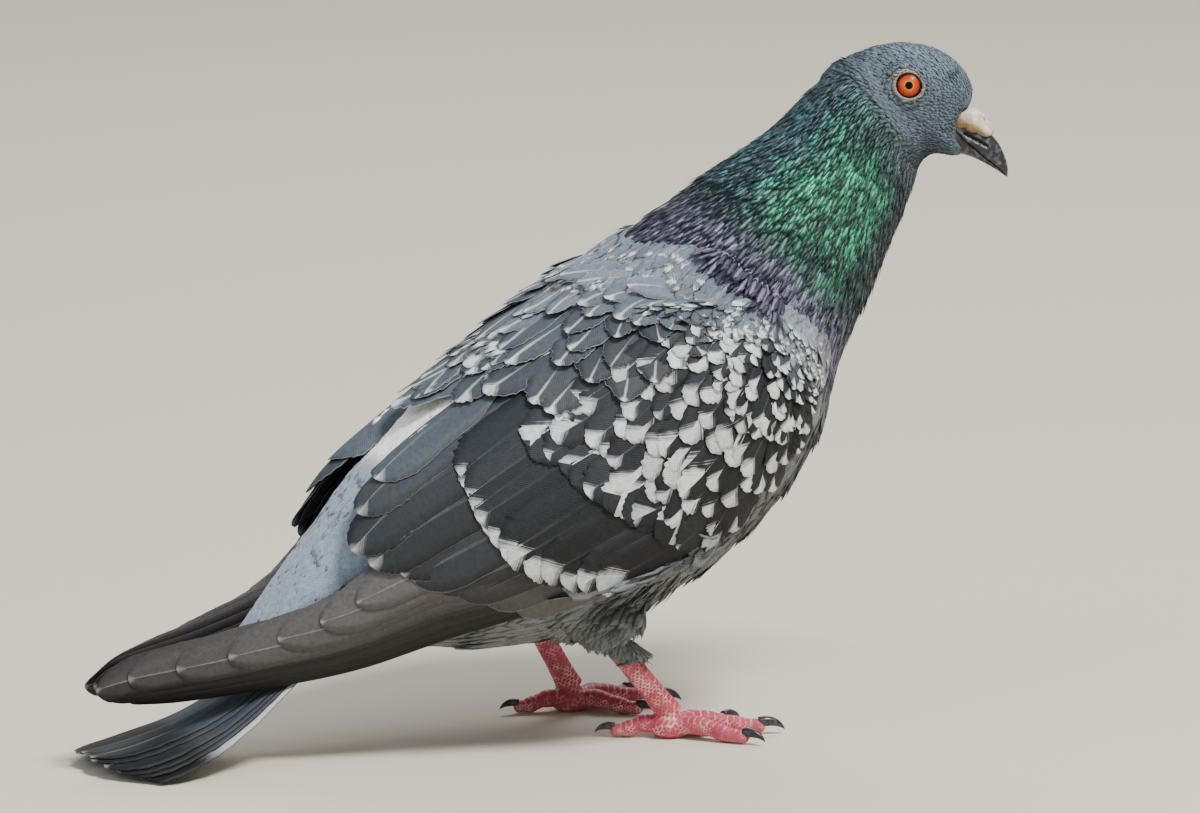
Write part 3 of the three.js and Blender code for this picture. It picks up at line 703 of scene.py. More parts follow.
def with_marks(tree, colour, shade, barb, cloud, fringe, lower_fringe_or_shadow_line):
    """Lays a fringe, the shaft and the white tip over a vane's colour. On the lower web the fringe
    is pale, or on blades a dark painted shadow line. The attribute mark holds how far white
    reaches from the tip on the upper and lower web, and the fringe's width."""
    vane = add_node(tree, "ShaderNodeUVMap", uv_map="Vane")
    axes = add_node(tree, "ShaderNodeSeparateXYZ", {0: vane})
    mark = add_node(tree, "ShaderNodeAttribute", attribute_name="mark").outputs["Vector"]
    reach = add_node(tree, "ShaderNodeSeparateXYZ", {0: mark})
    centred = add_node(tree, "ShaderNodeMapRange", {0: axes.outputs["X"], 1: 0.0, 2: 1.0, 3: -1.0, 4: 1.0})
    lower = add_node(tree, "ShaderNodeMath", {0: centred, 1: 0.0}, operation="GREATER_THAN")
    web = add_node(tree, "ShaderNodeMix", {"Factor": lower, 2: reach.outputs["X"], 3: reach.outputs["Y"]})
    # Each barb ends its dark part a little sooner or later, so marks have combed edges.
    barb_seed = add_node(tree, "ShaderNodeMath", {0: shade, 1: 37.0}, operation="MULTIPLY")
    barb_place = add_node(tree, "ShaderNodeCombineXYZ", {0: barb, 1: lower, 2: barb_seed})
    comb = add_node(tree, "ShaderNodeTexNoise", {"Vector": barb_place, "Scale": 1.9, "Detail": 2.0})
    uneven = add_node(tree, "ShaderNodeMath", {0: comb, 1: cloud}, operation="ADD")
    ragged = add_node(tree, "ShaderNodeMapRange", {0: uneven, 1: 0.6, 2: 1.4, 3: -0.45, 4: 0.45})
    ragged = add_node(tree, "ShaderNodeMath", {0: ragged, 1: web}, operation="MULTIPLY")
    start = add_node(tree, "ShaderNodeMath", {0: 1.0, 1: web}, operation="SUBTRACT")
    start = add_node(tree, "ShaderNodeMath", {0: start, 1: ragged}, operation="ADD")
    past = add_node(tree, "ShaderNodeMath", {0: axes.outputs["Y"], 1: start}, operation="SUBTRACT")
    white = add_node(tree, "ShaderNodeMapRange", {0: past, 1: -0.035, 2: 0.055, 3: 0.0, 4: 1.0})
    outward = add_node(tree, "ShaderNodeMath", {0: centred}, operation="ABSOLUTE")
    edge_start = add_node(tree, "ShaderNodeMath", {0: 1.0, 1: reach.outputs["Z"]}, operation="SUBTRACT")
    past_edge = add_node(tree, "ShaderNodeMath", {0: outward, 1: edge_start}, operation="SUBTRACT")
    edge = add_node(tree, "ShaderNodeMapRange", {0: past_edge, 1: 0.0, 2: 0.04, 3: 0.0, 4: 0.85})
    shaft_light = add_node(tree, "ShaderNodeAttribute", attribute_name="shaft").outputs["Fac"]
    tipward = add_node(tree, "ShaderNodeMapRange", {0: axes.outputs["Y"], 1: 0.4, 2: 0.95, 3: 0.1, 4: 1.0})
    # A strongly pale shaft widens into a streak towards the tip.
    streak = add_node(tree, "ShaderNodeMath", {0: tipward, 1: shaft_light}, operation="MULTIPLY")
    streak = add_node(tree, "ShaderNodeMapRange", {0: streak, 1: 0.3, 2: 0.75, 3: 0.07, 4: 0.26})
    shaft = add_node(tree, "ShaderNodeMath", {0: outward, 1: streak}, operation="DIVIDE")
    shaft = add_node(tree, "ShaderNodeMapRange", {0: shaft, 1: 0.4, 2: 1.0, 3: 1.0, 4: 0.0})
    for layer in (shaft_light, tipward):
        shaft = add_node(tree, "ShaderNodeMath", {0: shaft, 1: layer}, operation="MULTIPLY")
    # On blades the lower web's edge is painted near-black: a painted shadow line.
    edge_paint = add_node(
        tree, "ShaderNodeMix", {"Factor": lower, 6: fringe, 7: lower_fringe_or_shadow_line}, data_type="RGBA"
    ).outputs[2]
    for mask, paint in ((edge, edge_paint), (shaft, SHAFT_PALE), (white, WHITE_TIP)):
        colour = add_node(
            tree, "ShaderNodeMix", {"Factor": mask, 6: colour, 7: paint}, data_type="RGBA"
        ).outputs[2]
    return colour


print("marks are laid over a vane's colour in", SHAFT_PALE, "and", WHITE_TIP)

# %% Feather material
BARB_STEP = 0.8
# A noise scale counts blotches per metre: 900 gives blotches of 1.1 mm, 160 of 6 mm.
FUZZ_SCALE = 900.0
CLOUD_SCALE = 160.0
FRINGE = "#aab0b6"
WORN_FRINGE = "#8f8d8c"
FEATHER_GLOSS = 0.22


def feather_material(
    name, roughness, metallic=0.0, barb_depth=0.22, uneven_by=0.2, marked=False,
    fringe=FRINGE, lower_fringe_or_shadow_line=FRINGE, sheen=0.0, painted_glints=0.0,
):
    """Vanes coloured by tint and shade, with barbs; marked ones have marks, fringe and shaft, and
    glossy ones get painted glints on some strands.
    """
    material, tree, shader = new_material(name)
    tint = add_node(tree, "ShaderNodeAttribute", attribute_name="tint").outputs["Color"]
    shade = add_node(tree, "ShaderNodeAttribute", attribute_name="shade").outputs["Fac"]
    barb = add_node(tree, "ShaderNodeAttribute", attribute_name="barb").outputs["Fac"]
    turns = add_node(tree, "ShaderNodeMath", {0: barb, 1: 2 * math.pi / BARB_STEP}, operation="MULTIPLY")
    wave = add_node(tree, "ShaderNodeMath", {0: turns}, operation="SINE")
    place = add_node(tree, "ShaderNodeTexCoord").outputs["Object"]
    fuzz = add_node(tree, "ShaderNodeTexNoise", {"Vector": place, "Scale": FUZZ_SCALE, "Detail": 2.0})
    cloud = add_node(tree, "ShaderNodeTexNoise", {"Vector": place, "Scale": CLOUD_SCALE, "Detail": 2.0})
    light = add_node(
        tree, "ShaderNodeMapRange", {0: shade, 1: 0.0, 2: 1.0, 3: 1 - uneven_by, 4: 1 + uneven_by}
    )
    lines = add_node(
        tree, "ShaderNodeMapRange", {0: wave, 1: -1.0, 2: 1.0, 3: 1 - barb_depth, 4: 1 + barb_depth}
    )
    mottle = add_node(tree, "ShaderNodeMapRange", {0: fuzz, 1: 0.3, 2: 0.7, 3: 0.85, 4: 1.15})
    for layer in (lines, mottle):
        light = add_node(tree, "ShaderNodeMath", {0: light, 1: layer}, operation="MULTIPLY")
    colour = tint
    if painted_glints:
        # Painted glints: some strands keep their bright tint as if they threw the light back, and the
        # others are painted dark as strands that send no light back.
        dark = add_node(
            tree, "ShaderNodeMix", {"Factor": 0.8, 6: tint, 7: (*NECK_DARK, 1)}, data_type="RGBA"
        ).outputs[2]
        chance = add_node(tree, "ShaderNodeMath", {0: shade, 1: cloud}, operation="ADD")
        painted_glint = add_node(
            tree, "ShaderNodeMapRange", {0: chance, 1: painted_glints + 0.4, 2: painted_glints + 0.6, 3: 0.0, 4: 1.0}
        )
        colour = add_node(
            tree, "ShaderNodeMix", {"Factor": painted_glint, 6: dark, 7: tint}, data_type="RGBA"
        ).outputs[2]
    if marked:
        colour = with_marks(tree, colour, shade, barb, cloud, fringe, lower_fringe_or_shadow_line)
    lit = add_node(tree, "ShaderNodeVectorMath", {0: colour, "Scale": light}, operation="SCALE")
    relief = add_node(tree, "ShaderNodeMath", {0: wave, 1: fuzz}, operation="ADD")
    bump = add_node(tree, "ShaderNodeBump", {"Strength": 0.35, "Distance": 0.06 * MM, "Height": relief})
    set_inputs(tree, shader, {
        "Base Color": lit, "Normal": bump, "Roughness": roughness, "Metallic": metallic,
        "Sheen Weight": sheen, "Specular IOR Level": FEATHER_GLOSS,
    })
    return material


# Loose barbs scatter light in all directions, so soft feathers look matt and velvety.
SOFT_VANES = feather_material("Soft matt contour feathers", 0.85, sheen=0.15)
SMOOTH_VANES = feather_material(
    "Smooth silky rump and belly", 0.9, barb_depth=0.08, uneven_by=0.06, sheen=0.15
)
MANTLE_VANES = feather_material(
    "Soft streaked shoulder feathers", 0.8, barb_depth=0.14, marked=True, sheen=0.1
)
FACE_VANES = feather_material("Short dense face feathers", 0.8, barb_depth=0.06, uneven_by=0.13)
# Thin films in the flat barbs of the neck mirror green and violet; the glints, strand by
# strand, are painted in the colour.
NECK_VANES = feather_material(
    "Glossy barbs of the neck", 0.38, metallic=0.3, barb_depth=0.25, painted_glints=0.58
)
# Hooked barbs make the wing's vanes firm and even, with a faint gloss like paper.
WING_VANES = feather_material("Firm wing covert vanes", 0.62, barb_depth=0.1, marked=True)
FLIGHT_VANES = feather_material(
    "Smooth flight feather vanes", 0.5, barb_depth=0.08, marked=True,
    fringe=WORN_FRINGE, lower_fringe_or_shadow_line=WORN_FRINGE,
)
# The lower web's edge of these blades is painted near-black, a painted shadow line under each feather's
# edge.
BLADE_VANES = feather_material(
    "Stiff blades of primaries and tail", 0.5, barb_depth=0.08, marked=True,
    fringe=WORN_FRINGE, lower_fringe_or_shadow_line="#1f1e1f",
)
print("feather finishes:", len(bpy.data.materials) - 1)

# %% The skin's own finish
# Down fills the gaps between the feathers: matt, a little darker, in flecks of 1.4 mm.
DOWN_SCALE = 700.0
skin_material, skin_tree, skin_shader = new_material("Skin under the down")
skin_tint = add_node(skin_tree, "ShaderNodeAttribute", attribute_name="tint").outputs["Color"]
skin_place = add_node(skin_tree, "ShaderNodeTexCoord").outputs["Object"]
down = add_node(
    skin_tree, "ShaderNodeTexNoise", {"Vector": skin_place, "Scale": DOWN_SCALE, "Detail": 3.0}
)
down_light = add_node(skin_tree, "ShaderNodeMapRange", {0: down, 1: 0.3, 2: 0.7, 3: 0.75, 4: 1.0})
skin_colour = add_node(
    skin_tree, "ShaderNodeVectorMath", {0: skin_tint, "Scale": down_light}, operation="SCALE"
)
skin_bump = add_node(skin_tree, "ShaderNodeBump", {"Strength": 0.6, "Distance": 0.3 * MM, "Height": down})
skin_inputs = {"Base Color": skin_colour, "Normal": skin_bump, "Roughness": 0.9}
set_inputs(skin_tree, skin_shader, skin_inputs)
skin.data.materials.append(skin_material)
print("the skin has", len(skin_tree.nodes), "nodes in its finish")

# %% [markdown]
# ## The small feathers of head, neck and body
# Thousands of small feathers lie over one another like tiles. Each could be placed by
# hand, or grown as hair, but hair isn't kept in an exported model. So a Geometry Nodes
# tree scatters points on the skin with an even distance between them, sets one of three
# vanes on each point, lays it along the coat, and turns all instances into real mesh.

# %% Vanes that are set on the skin
VANE_BACK = 0.05
BARB_SLANT = 0.3


def vane_shape(name, profile, tips, camber, curl):
    """A closed vane one long and one wide; profile gives its widths on the way to the tip,
    tips shifts the points across its end, camber arches it and curl bends it down at the end."""
    columns = len(tips)
    across = np.linspace(-1, 1, columns)
    rows = len(profile)
    top, vane, barb = [], [], []
    for r, wide in enumerate(profile):
        share = r / (rows - 1)
        arch = camber * math.sin(math.pi * min(1, share + 0.15))
        for c in range(columns):
            z = arch * (1 - across[c] ** 2) - curl * share**2
            top.append((0.5 * wide * across[c], share * (1 + tips[c] * share**3), z))
            vane.append((0.5 + 0.5 * across[c], share))
            barb.append(share - BARB_SLANT * abs(across[c]))
    bottom_of = {}
    points = list(top)
    for r in range(1, rows - 1):
        for c in range(1, columns - 1):
            bottom_of[r * columns + c] = len(points)
            x, y, z = top[r * columns + c]
            points.append((x, y, z - VANE_BACK))
            vane.append(vane[r * columns + c])
            barb.append(barb[r * columns + c])
    faces = []
    for r in range(rows - 1):
        for c in range(columns - 1):
            a = r * columns + c
            ring = (a, a + 1, a + columns + 1, a + columns)
            faces.append(ring)
            faces.append(tuple(bottom_of.get(i, i) for i in reversed(ring)))
    mesh = bpy.data.meshes.new(name)
    mesh.from_pydata(points, [], faces)
    mesh.shade_smooth()
    layer = mesh.uv_layers.new(name="Vane")
    for loop in mesh.loops:
        layer.data[loop.index].uv = vane[loop.vertex_index]
    store(mesh, "barb", "FLOAT", barb)
    return bpy.data.objects.new(name, mesh)


def vane_set(name, profile, tip_sets, camber, curl):
    """Vanes that differ only in their tips."""
    return [
        vane_shape(f"{name} {i + 1}", profile, tips, camber, curl) for i, tips in enumerate(tip_sets)
    ]


BROAD_VANES = vane_set(
    "broad vane",
    [0.25, 0.8, 1, 0.92, 0.5],
    [(-0.22, -0.02, 0, -0.05, -0.16), (-0.14, 0.02, -0.06, 0, -0.24), (-0.2, -0.06, 0.03, -0.03, -0.14)],
    0.13,
    0.05,
)
FACE_SHAPES = vane_set(
    "face vane",
    [0.3, 1, 0.85, 0.25],
    [(-0.1, 0, -0.15), (-0.2, 0.05, -0.1), (0, -0.05, -0.05)],
    0.14,
    0.04,
)
STRANDS = vane_set(
    "neck strand",
    [0.5, 1, 0.9, 0.75, 0.35],
    [(0, -0.12, -0.02), (-0.05, -0.16, 0.03), (-0.1, 0, -0.06)],
    0.12,
    0.03,
)
SILKY_VANES = vane_set(
    "silky vane",
    [0.4, 0.9, 1, 0.7, 0.15],
    [(-0.05, 0, -0.05), (-0.08, 0.04, 0), (0, -0.03, -0.1)],
    0.1,
    0.03,
)
print("vanes of", sorted({len(v.data.polygons) for v in BROAD_VANES + FACE_SHAPES + STRANDS}), "faces")

# %% The tree that grows a coat
# Tufts stand about one spacing apart; this many candidates are tried on each such square.
TRIES = 4.0
# How unevenly they are raised and grown, as the lowest and highest share of the normal.
RAISED = (0.7, 1.3)
GROWTH = (0.82, 1.16)
COAT_INPUTS = {
    "Geometry": "NodeSocketGeometry",
    "Vane 1": "NodeSocketObject",
    "Vane 2": "NodeSocketObject",
    "Vane 3": "NodeSocketObject",
    "Spacing": "NodeSocketFloat",
    "Lift": "NodeSocketFloat",
    "Turn": "NodeSocketFloat",
    "Seed": "NodeSocketInt",
    "Finish": "NodeSocketMaterial",
}


def coat_tree():
    """Scatters points, lays one of three vanes on each, and makes them real with a finish."""
    tree = bpy.data.node_groups.new("feather coat", "GeometryNodeTree")
    for name, kind in COAT_INPUTS.items():
        tree.interface.new_socket(name, in_out="INPUT", socket_type=kind)
    tree.interface.new_socket("Geometry", in_out="OUTPUT", socket_type="NodeSocketGeometry")
    given = add_node(tree, "NodeGroupInput").outputs
    spacing = given["Spacing"]
    square = add_node(tree, "ShaderNodeMath", {0: spacing, 1: spacing}, operation="MULTIPLY")
    density = add_node(tree, "ShaderNodeMath", {0: TRIES, 1: square}, operation="DIVIDE")
    scatter = add_node(
        tree, "GeometryNodeDistributePointsOnFaces",
        {
            "Mesh": given["Geometry"], "Distance Min": spacing,
            "Density Max": density, "Seed": given["Seed"],
        },
        distribute_method="POISSON",
    )
    lie, size = [
        add_node(tree, "GeometryNodeInputNamedAttribute", {"Name": name}, data_type="FLOAT_VECTOR")
        for name in ("lie", "vane_size")
    ]
    facing = add_node(
        tree, "FunctionNodeAxesToRotation", {0: scatter.outputs["Normal"], 1: lie},
        primary_axis="Z", secondary_axis="Y",
    )
    less = add_node(tree, "ShaderNodeMath", {0: given["Turn"], 1: -1.0}, operation="MULTIPLY")
    # Five uneven values for each point; the last number is the seed of each.
    turn, roll, raised, growth, shade = [
        add_node(tree, "FunctionNodeRandomValue", {2: low, 3: high, 8: seed}, data_type="FLOAT").outputs[1]
        for low, high, seed in (
            (less, given["Turn"], 3), (less, given["Turn"], 4), (*RAISED, 5), (*GROWTH, 6), (0.0, 1.0, 7)
        )
    ]
    lift = add_node(tree, "ShaderNodeMath", {0: given["Lift"], 1: raised}, operation="MULTIPLY")
    tilt = add_node(tree, "ShaderNodeCombineXYZ", {0: lift, 1: roll, 2: turn})
    tilted = add_node(tree, "FunctionNodeEulerToRotation", {0: tilt})
    laid = add_node(tree, "FunctionNodeRotateRotation", {0: facing, 1: tilted}, rotation_space="LOCAL")
    scale = add_node(tree, "ShaderNodeVectorMath", {0: size, "Scale": growth}, operation="SCALE")
    here = add_node(tree, "GeometryNodeInputPosition")
    # Each vane keeps its root's place and its own shade.
    spots = scatter.outputs["Points"]
    for name, value, kind in (("root", here, "FLOAT_VECTOR"), ("shade", shade, "FLOAT")):
        spots = add_node(
            tree, "GeometryNodeStoreNamedAttribute", {"Geometry": spots, "Name": name, "Value": value},
            data_type=kind, domain="POINT",
        )
    vanes = add_node(tree, "GeometryNodeJoinGeometry")
    for name in ("Vane 1", "Vane 2", "Vane 3"):
        one = add_node(tree, "GeometryNodeObjectInfo", {"Object": given[name], "As Instance": True})
        tree.links.new(one.outputs["Geometry"], vanes.inputs[0])
    pick = add_node(tree, "FunctionNodeRandomValue", {4: 0, 5: 2, 8: 9}, data_type="INT")
    placed = add_node(
        tree, "GeometryNodeInstanceOnPoints",
        {
            "Points": spots, "Instance": vanes, "Pick Instance": True,
            "Instance Index": pick.outputs[2], "Rotation": laid, "Scale": scale,
        },
    )
    real = add_node(tree, "GeometryNodeRealizeInstances", {"Geometry": placed})
    finished = add_node(tree, "GeometryNodeSetMaterial", {"Geometry": real, "Material": given["Finish"]})
    add_node(tree, "NodeGroupOutput", {0: finished})
    return tree


COAT = coat_tree()
SOCKETS = {s.name: s.identifier for s in COAT.interface.items_tree if s.in_out == "INPUT"}
print("coat tree with inputs", sorted(SOCKETS))

# %% Where the wings cover the skin
WING_REACH = 9.0
wing_mesh = bmesh.new()
for side_name in SIDES:
    for wing_part in ("coverts", "tertials", "primaries"):
        wing_mesh.from_mesh(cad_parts[f"wing_{side_name}_{wing_part}"].data)
wing_solids = BVHTree.FromBMesh(wing_mesh)
wing_mesh.free()


def under_wing(point, normal):
    """True where a wing lies close outside the skin; nothing grows there."""
    return wing_solids.ray_cast(Vector(point * MM), Vector(normal), WING_REACH * MM)[0] is not None


hidden = np.array([under_wing(*pair) for pair in zip(points, normals_of(skin.data))])
covered = hidden & ~shoulder & ~flank
print(int(covered.sum()), "points lie under the wings")

# %% Growing a coat on part of the skin
# Each tuft has a small patch of the skin's map, and streaked ones have a white tip.
TUFT_PATCH = 0.003
STREAKED_TIP = (0.46, 0.4, 0.0)
MAP_EDGE = 0.004


def unwrap(points):
    """A map of the skin's own shape: round the body across it, from tail to bill up it."""
    share, angle, _ = spine_coordinates(points)
    local = in_head(points)
    turn = np.degrees(np.arctan2(local[:, 1], local[:, 2] + 4))
    on_skull = ellipsoid_depth(local, *SKULL) < 1.1
    across = np.where(on_skull, turn, angle) / 360 + 0.5
    up = np.where(on_skull, 0.78 + 0.21 * np.clip((local[:, 0] + 21) / 40, 0, 1), 0.77 * share)
    return np.stack([MAP_EDGE + 0.992 * across, MAP_EDGE + 0.99 * up], -1)


def skin_patch(name, mask, sizes):
    """A copy of the skin where the mask is true, with the vane sizes stored on it."""
    mesh = skin.data.copy()
    store(mesh, "vane_size", "FLOAT_VECTOR", sizes * MM)
    cut = bmesh.new()
    cut.from_mesh(mesh)
    cut.verts.ensure_lookup_table()
    bmesh.ops.delete(cut, geom=[cut.verts[i] for i in np.flatnonzero(~mask)], context="VERTS")
    cut.to_mesh(mesh)
    cut.free()
    mesh.materials.clear()
    return in_scene(name, mesh)


def place_tufts(mesh, length):
    """Gives each tuft a patch of the map OFBake at its root's place, and its barbs a real length."""
    count = len(mesh.vertices)
    roots = np.empty(count * 3)
    mesh.attributes["root"].data.foreach_get("vector", roots)
    roots = roots.reshape(-1, 3) / MM
    unique, which = np.unique(roots.round(4), axis=0, return_inverse=True)
    place = unwrap(unique)[which.ravel()]
    loops = np.empty(len(mesh.loops), int)
    mesh.loops.foreach_get("vertex_index", loops)
    vane = np.empty(len(mesh.loops) * 2)
    mesh.uv_layers["Vane"].data.foreach_get("uv", vane)
    patch = place[loops] + TUFT_PATCH * (vane.reshape(-1, 2) - 0.5)
    layer = mesh.uv_layers.new(name="OFBake")
    layer.data.foreach_set("uv", patch.ravel())
    barb = np.empty(count)
    mesh.attributes["barb"].data.foreach_get("value", barb)
    mesh.attributes["barb"].data.foreach_set("value", barb * length)
    for name in ("root", "lie", "vane_size"):
        mesh.attributes.remove(mesh.attributes[name])
    return len(unique)


def grow_coat(name, slot, mask, sizes, shapes, spacing, lift, turn, seed, finish, streak=0.0):
    """One piece of the coat: spacing in millimetres, lift and turn in degrees."""
    made = skin_patch(name, mask, sizes)
    grower = made.modifiers.new("coat", "NODES")
    grower.node_group = COAT
    values = {
        "Spacing": spacing * MM, "Lift": math.radians(lift), "Turn": math.radians(turn),
        "Seed": seed, "Finish": finish,
    }
    values |= {f"Vane {i + 1}": shape for i, shape in enumerate(shapes)}
    for key, value in values.items():
        grower[SOCKETS[key]] = value
    baked(made)
    tufts = place_tufts(made.data, float(sizes[mask, 1].mean()))
    if streak:
        shade = np.empty(len(made.data.vertices))
        made.data.attributes["shade"].data.foreach_get("value", shade)
        store(made.data, "shaft", "FLOAT", streak * (0.3 + 0.9 * shade))
        store(made.data, "mark", "FLOAT_VECTOR", np.outer(shade, STREAKED_TIP))
    keep(made, slot)
    triangles = sum(len(p.vertices) - 2 for p in made.data.polygons)
    print(f"{name}: {tufts} tufts, {triangles} triangles")


def sizes_of(width, length):
    """Width and length of the vanes at each point of the skin, in millimetres."""
    width = np.broadcast_to(width, len(points))
    return np.stack([width, np.broadcast_to(length, len(points)), width], -1)


# %% Head and neck
# The bill's own place stays bare, apart from the chin and the cheeks beside it.
beside_bill = (headward[:, 0] < 17) & (np.abs(headward[:, 1]) > 4.1)
bill_clear = (headward[:, 0] < 15.4) | (headward[:, 2] > 3) | beside_bill
# Feathers are shortest on the face and around the eye, and grow longer down the neck.
EYE_OPENING = 4.15
near_face = ramp(headward[:, 0], -2, 12) * head_share
face_length = mix(1.5, mix(2.7, 1.5, near_face), ramp(eye_distance, 4, 8))
head_mask = (head_share > 0.45) & (eye_distance > EYE_OPENING) & bill_clear
grow_coat(
    "head_coat", "head_feathers", head_mask, sizes_of(mix(1.2, 0.8, near_face), face_length),
    FACE_SHAPES, 0.62, 8, 8, 11, FACE_VANES,
)
neck_mask = (share > 0.655) & (head_share < 0.6) & ~wing_front & ~covered
upper_neck = ramp(share, 0.7, 0.95)
neck_sizes = sizes_of(mix(1.6, 1.0, upper_neck), mix(7.5, 4.2, upper_neck))
# For each part of the neck: shares of the spine, spacing and lift.
NECK_BANDS = {"lower": (0.655, 0.76, 0.95, 6.5), "upper": (0.752, 1.01, 0.75, 10)}
for band, (low, high, spacing, lift) in NECK_BANDS.items():
    grow_coat(
        f"neck_coat_{band}", "neck_feathers", neck_mask & (share >= low) & (share < high),
        neck_sizes, STRANDS, spacing, lift, 7, 12, NECK_VANES,
    )

# %% Which part of the body each coat covers
bare = ~covered & (head_share < 0.5)
off_thigh = bare & (thigh_share < 0.35)
front = off_thigh & (share > 0.3) & (share < 0.656) & ~wing_front
under = front & (side_angle > 58)
on_rump = (share > 0.03) & (share < 0.21) & (side_angle < 70)
off_wing = (on_wing[:, 0] > 1) | (on_wing[:, 1] < 0.05)
open_back = (bare & off_wing & (side_angle < 52)) | (side_angle < 12)
rear = on_rump | (open_back & (share >= 0.21) & (share <= 0.46))
vent = off_thigh & (share > 0.05) & (share <= 0.33) & (side_angle > 84)
height = points[:, 2]
thighs = (thigh_share >= 0.3) & ~covered & (height > 19)
# Loose tips fill the corner between the belly and the front of the thigh.
before_thigh = np.zeros(len(points), bool)
for axis_x, axis_y in THIGH_AXES.values():
    beside = np.abs(points[:, 1] - axis_y)
    away = np.hypot(points[:, 0] - axis_x, beside)
    before_thigh |= (away > 9) & (away < 21) & (points[:, 0] > axis_x + 5) & (beside < 10)
groin = before_thigh & bare & (height > 27) & (height < 46)
print("back", int(rear.sum()), "underside", int(under.sum()), "thighs", int(thighs.sum()), "points")

# %% Body
breast_growth = ramp(share, 0.5, 0.66)
mantle_growth = ramp(share, 0.5, 0.62)
thigh_growth = ramp(height, 22, 31)
# For each coat: where it grows, sizes, vanes, spacing, lift, turn, seed, finish, and for
# streaked feathers how pale their shafts are.
BODY_COATS = {
    "shoulder_coat": (
        wing_front, sizes_of(np.where(wrist, 2.4, 3.4), np.where(wrist, 4.6, 7.0)),
        BROAD_VANES, 1.2, 8, 9, 19, MANTLE_VANES, 0.7,
    ),
    "breast_coat": (
        under & (share >= 0.47), sizes_of(mix(4.6, 3.6, breast_growth), mix(9.5, 7.5, breast_growth)),
        BROAD_VANES, 1.75, 7, 7, 13, SOFT_VANES,
    ),
    "belly_coat": (under & (share < 0.49), sizes_of(3.6, 9.0), SILKY_VANES, 1.4, 3, 5, 14, SMOOTH_VANES),
    "mantle_coat": (
        front & (side_angle <= 64) & (share > 0.42), sizes_of(4.0, mix(10, 7.5, mantle_growth)),
        BROAD_VANES, 1.55, 8, 8, 15, MANTLE_VANES, 0.6,
    ),
    "rump_coat": (rear, sizes_of(2.8, 5.2), BROAD_VANES, 0.82, 4.6, 2, 16, SMOOTH_VANES),
    "vent_coat": (vent, sizes_of(4.2, 11), SILKY_VANES, 1.5, 3, 5, 17, SMOOTH_VANES),
    "thigh_coat": (
        thighs, sizes_of(mix(1.2, 2.6, thigh_growth), mix(2.0, 6.2, thigh_growth)),
        SILKY_VANES, 0.75, 2.0, 4, 18, SMOOTH_VANES,
    ),
    "groin_coat": (groin, sizes_of(2.6, 8.5), SILKY_VANES, 1.1, 15, 9, 20, SMOOTH_VANES),
}
for name, coat in BODY_COATS.items():
    grow_coat(name, "body_feathers", *coat)
keep(skin, "body_feathers", *FLESH)

# %% [markdown]
# ## The large feathers
# Coverts, scapulars, tertials, primaries and tail feathers each have a visible outline, a
# shaft and barbs that run out from it at a slant. They could be flat cards with a picture
# on them, but then their edges would be false. Here each one is a thin closed shell, laid
# on the curved surface of the wing or tail. The lines of its mesh follow the barbs, so
# a ragged tip or a mark that ends between two barbs looks right by itself.
# Each tract of feathers is given by where its first, middle and last feathers start and end.

# %% Directions on a surface
SURFACE_STEP = 1e-3


def surface_steps(surface, place):
    """How a point of the surface moves, in millimetres, for each whole share along and across it."""
    return [
        (surface(place + step) - surface(place - step)) / (2 * SURFACE_STEP)
        for step in (np.array([SURFACE_STEP, 0]), np.array([0, SURFACE_STEP]))
    ]


def outward_normal(surface, place, handed):
    return handed * unit(np.cross(*surface_steps(surface, place)))


def sideways(surface, place, run):
    """The change of place for one millimetre across the run of a feather, to its lower edge."""
    on, by = surface_steps(surface, place)
    ahead = unit(on * run[..., :1] + by * run[..., 1:])
    across = unit(by - (by * ahead).sum(-1, keepdims=True) * ahead)
    a, b, c = (on * on).sum(-1), (on * by).sum(-1), (by * by).sum(-1)
    d, e = (across * on).sum(-1), (across * by).sum(-1)
    whole = np.maximum(a * c - b * b, 1e-9)
    return np.stack([(c * d - b * e) / whole, (a * e - b * d) / whole], -1)


print("surfaces are measured in steps of", SURFACE_STEP)

# %% What a tract of feathers may say
PLAIN_TRACT = {
    "rows": 26,  # rows of its mesh along a feather
    "jitter": 0.0,  # how uneven the places of roots and tips are
    "outer": 0.5,  # share of the width below the shaft
    "sweep": 1.1,  # how far a barb runs on for each millimetre outwards
    "round": 0.9,  # length of the rounded tip in half widths
    "slant": 1.0,  # how many times longer that is above the shaft
    "ragged": 0.03,  # how unevenly the barbs end
    "stack": 0.0,  # millimetres by which each feather lies above the one before
    "roll": 0.25,  # millimetres by which the lower edge is raised
    "camber": 0.35,  # millimetres by which both edges are bent down
    "loose": 0.08,  # millimetres by which the tips rise or fall at random
    "tuck": 0.0,  # millimetres by which the innermost feather bends down over the back
    "mark_spread": 0.25,  # how uneven the white marks are
    "shaft": 0.3,  # how pale the shaft is
}
VANE_COLUMNS = np.array([-1, -0.62, -0.3, -0.06, 0, 0.06, 0.3, 0.62, 1])
VANE_THICKNESS = 0.16
SHAFT_HEIGHT = 0.16
UNEVEN_PLACES = np.array([0.1, 0.3])
UNEVEN_WIDTH = 0.04
BASE_WIDTH = 0.35
OPENED_AT = 0.35
# Rows of the mesh crowd towards the tip by this power.
ROW_CROWDING = 1.5
LENGTH_STEPS = 13
HALVINGS = 22


def half_width(share, tip_share):
    """Outline of a feather at a share of its length: narrow at its base, round at its tip."""
    opening = mix(BASE_WIDTH, 1, ramp(share, 0, OPENED_AT))
    rounding = np.clip((share - 1 + tip_share) / tip_share, 0, 1)
    return opening * np.sqrt(np.clip(1 - rounding**2, 0, 1))


print("a tract has", len(PLAIN_TRACT), "settings besides its places, widths, lift, mark and tints")

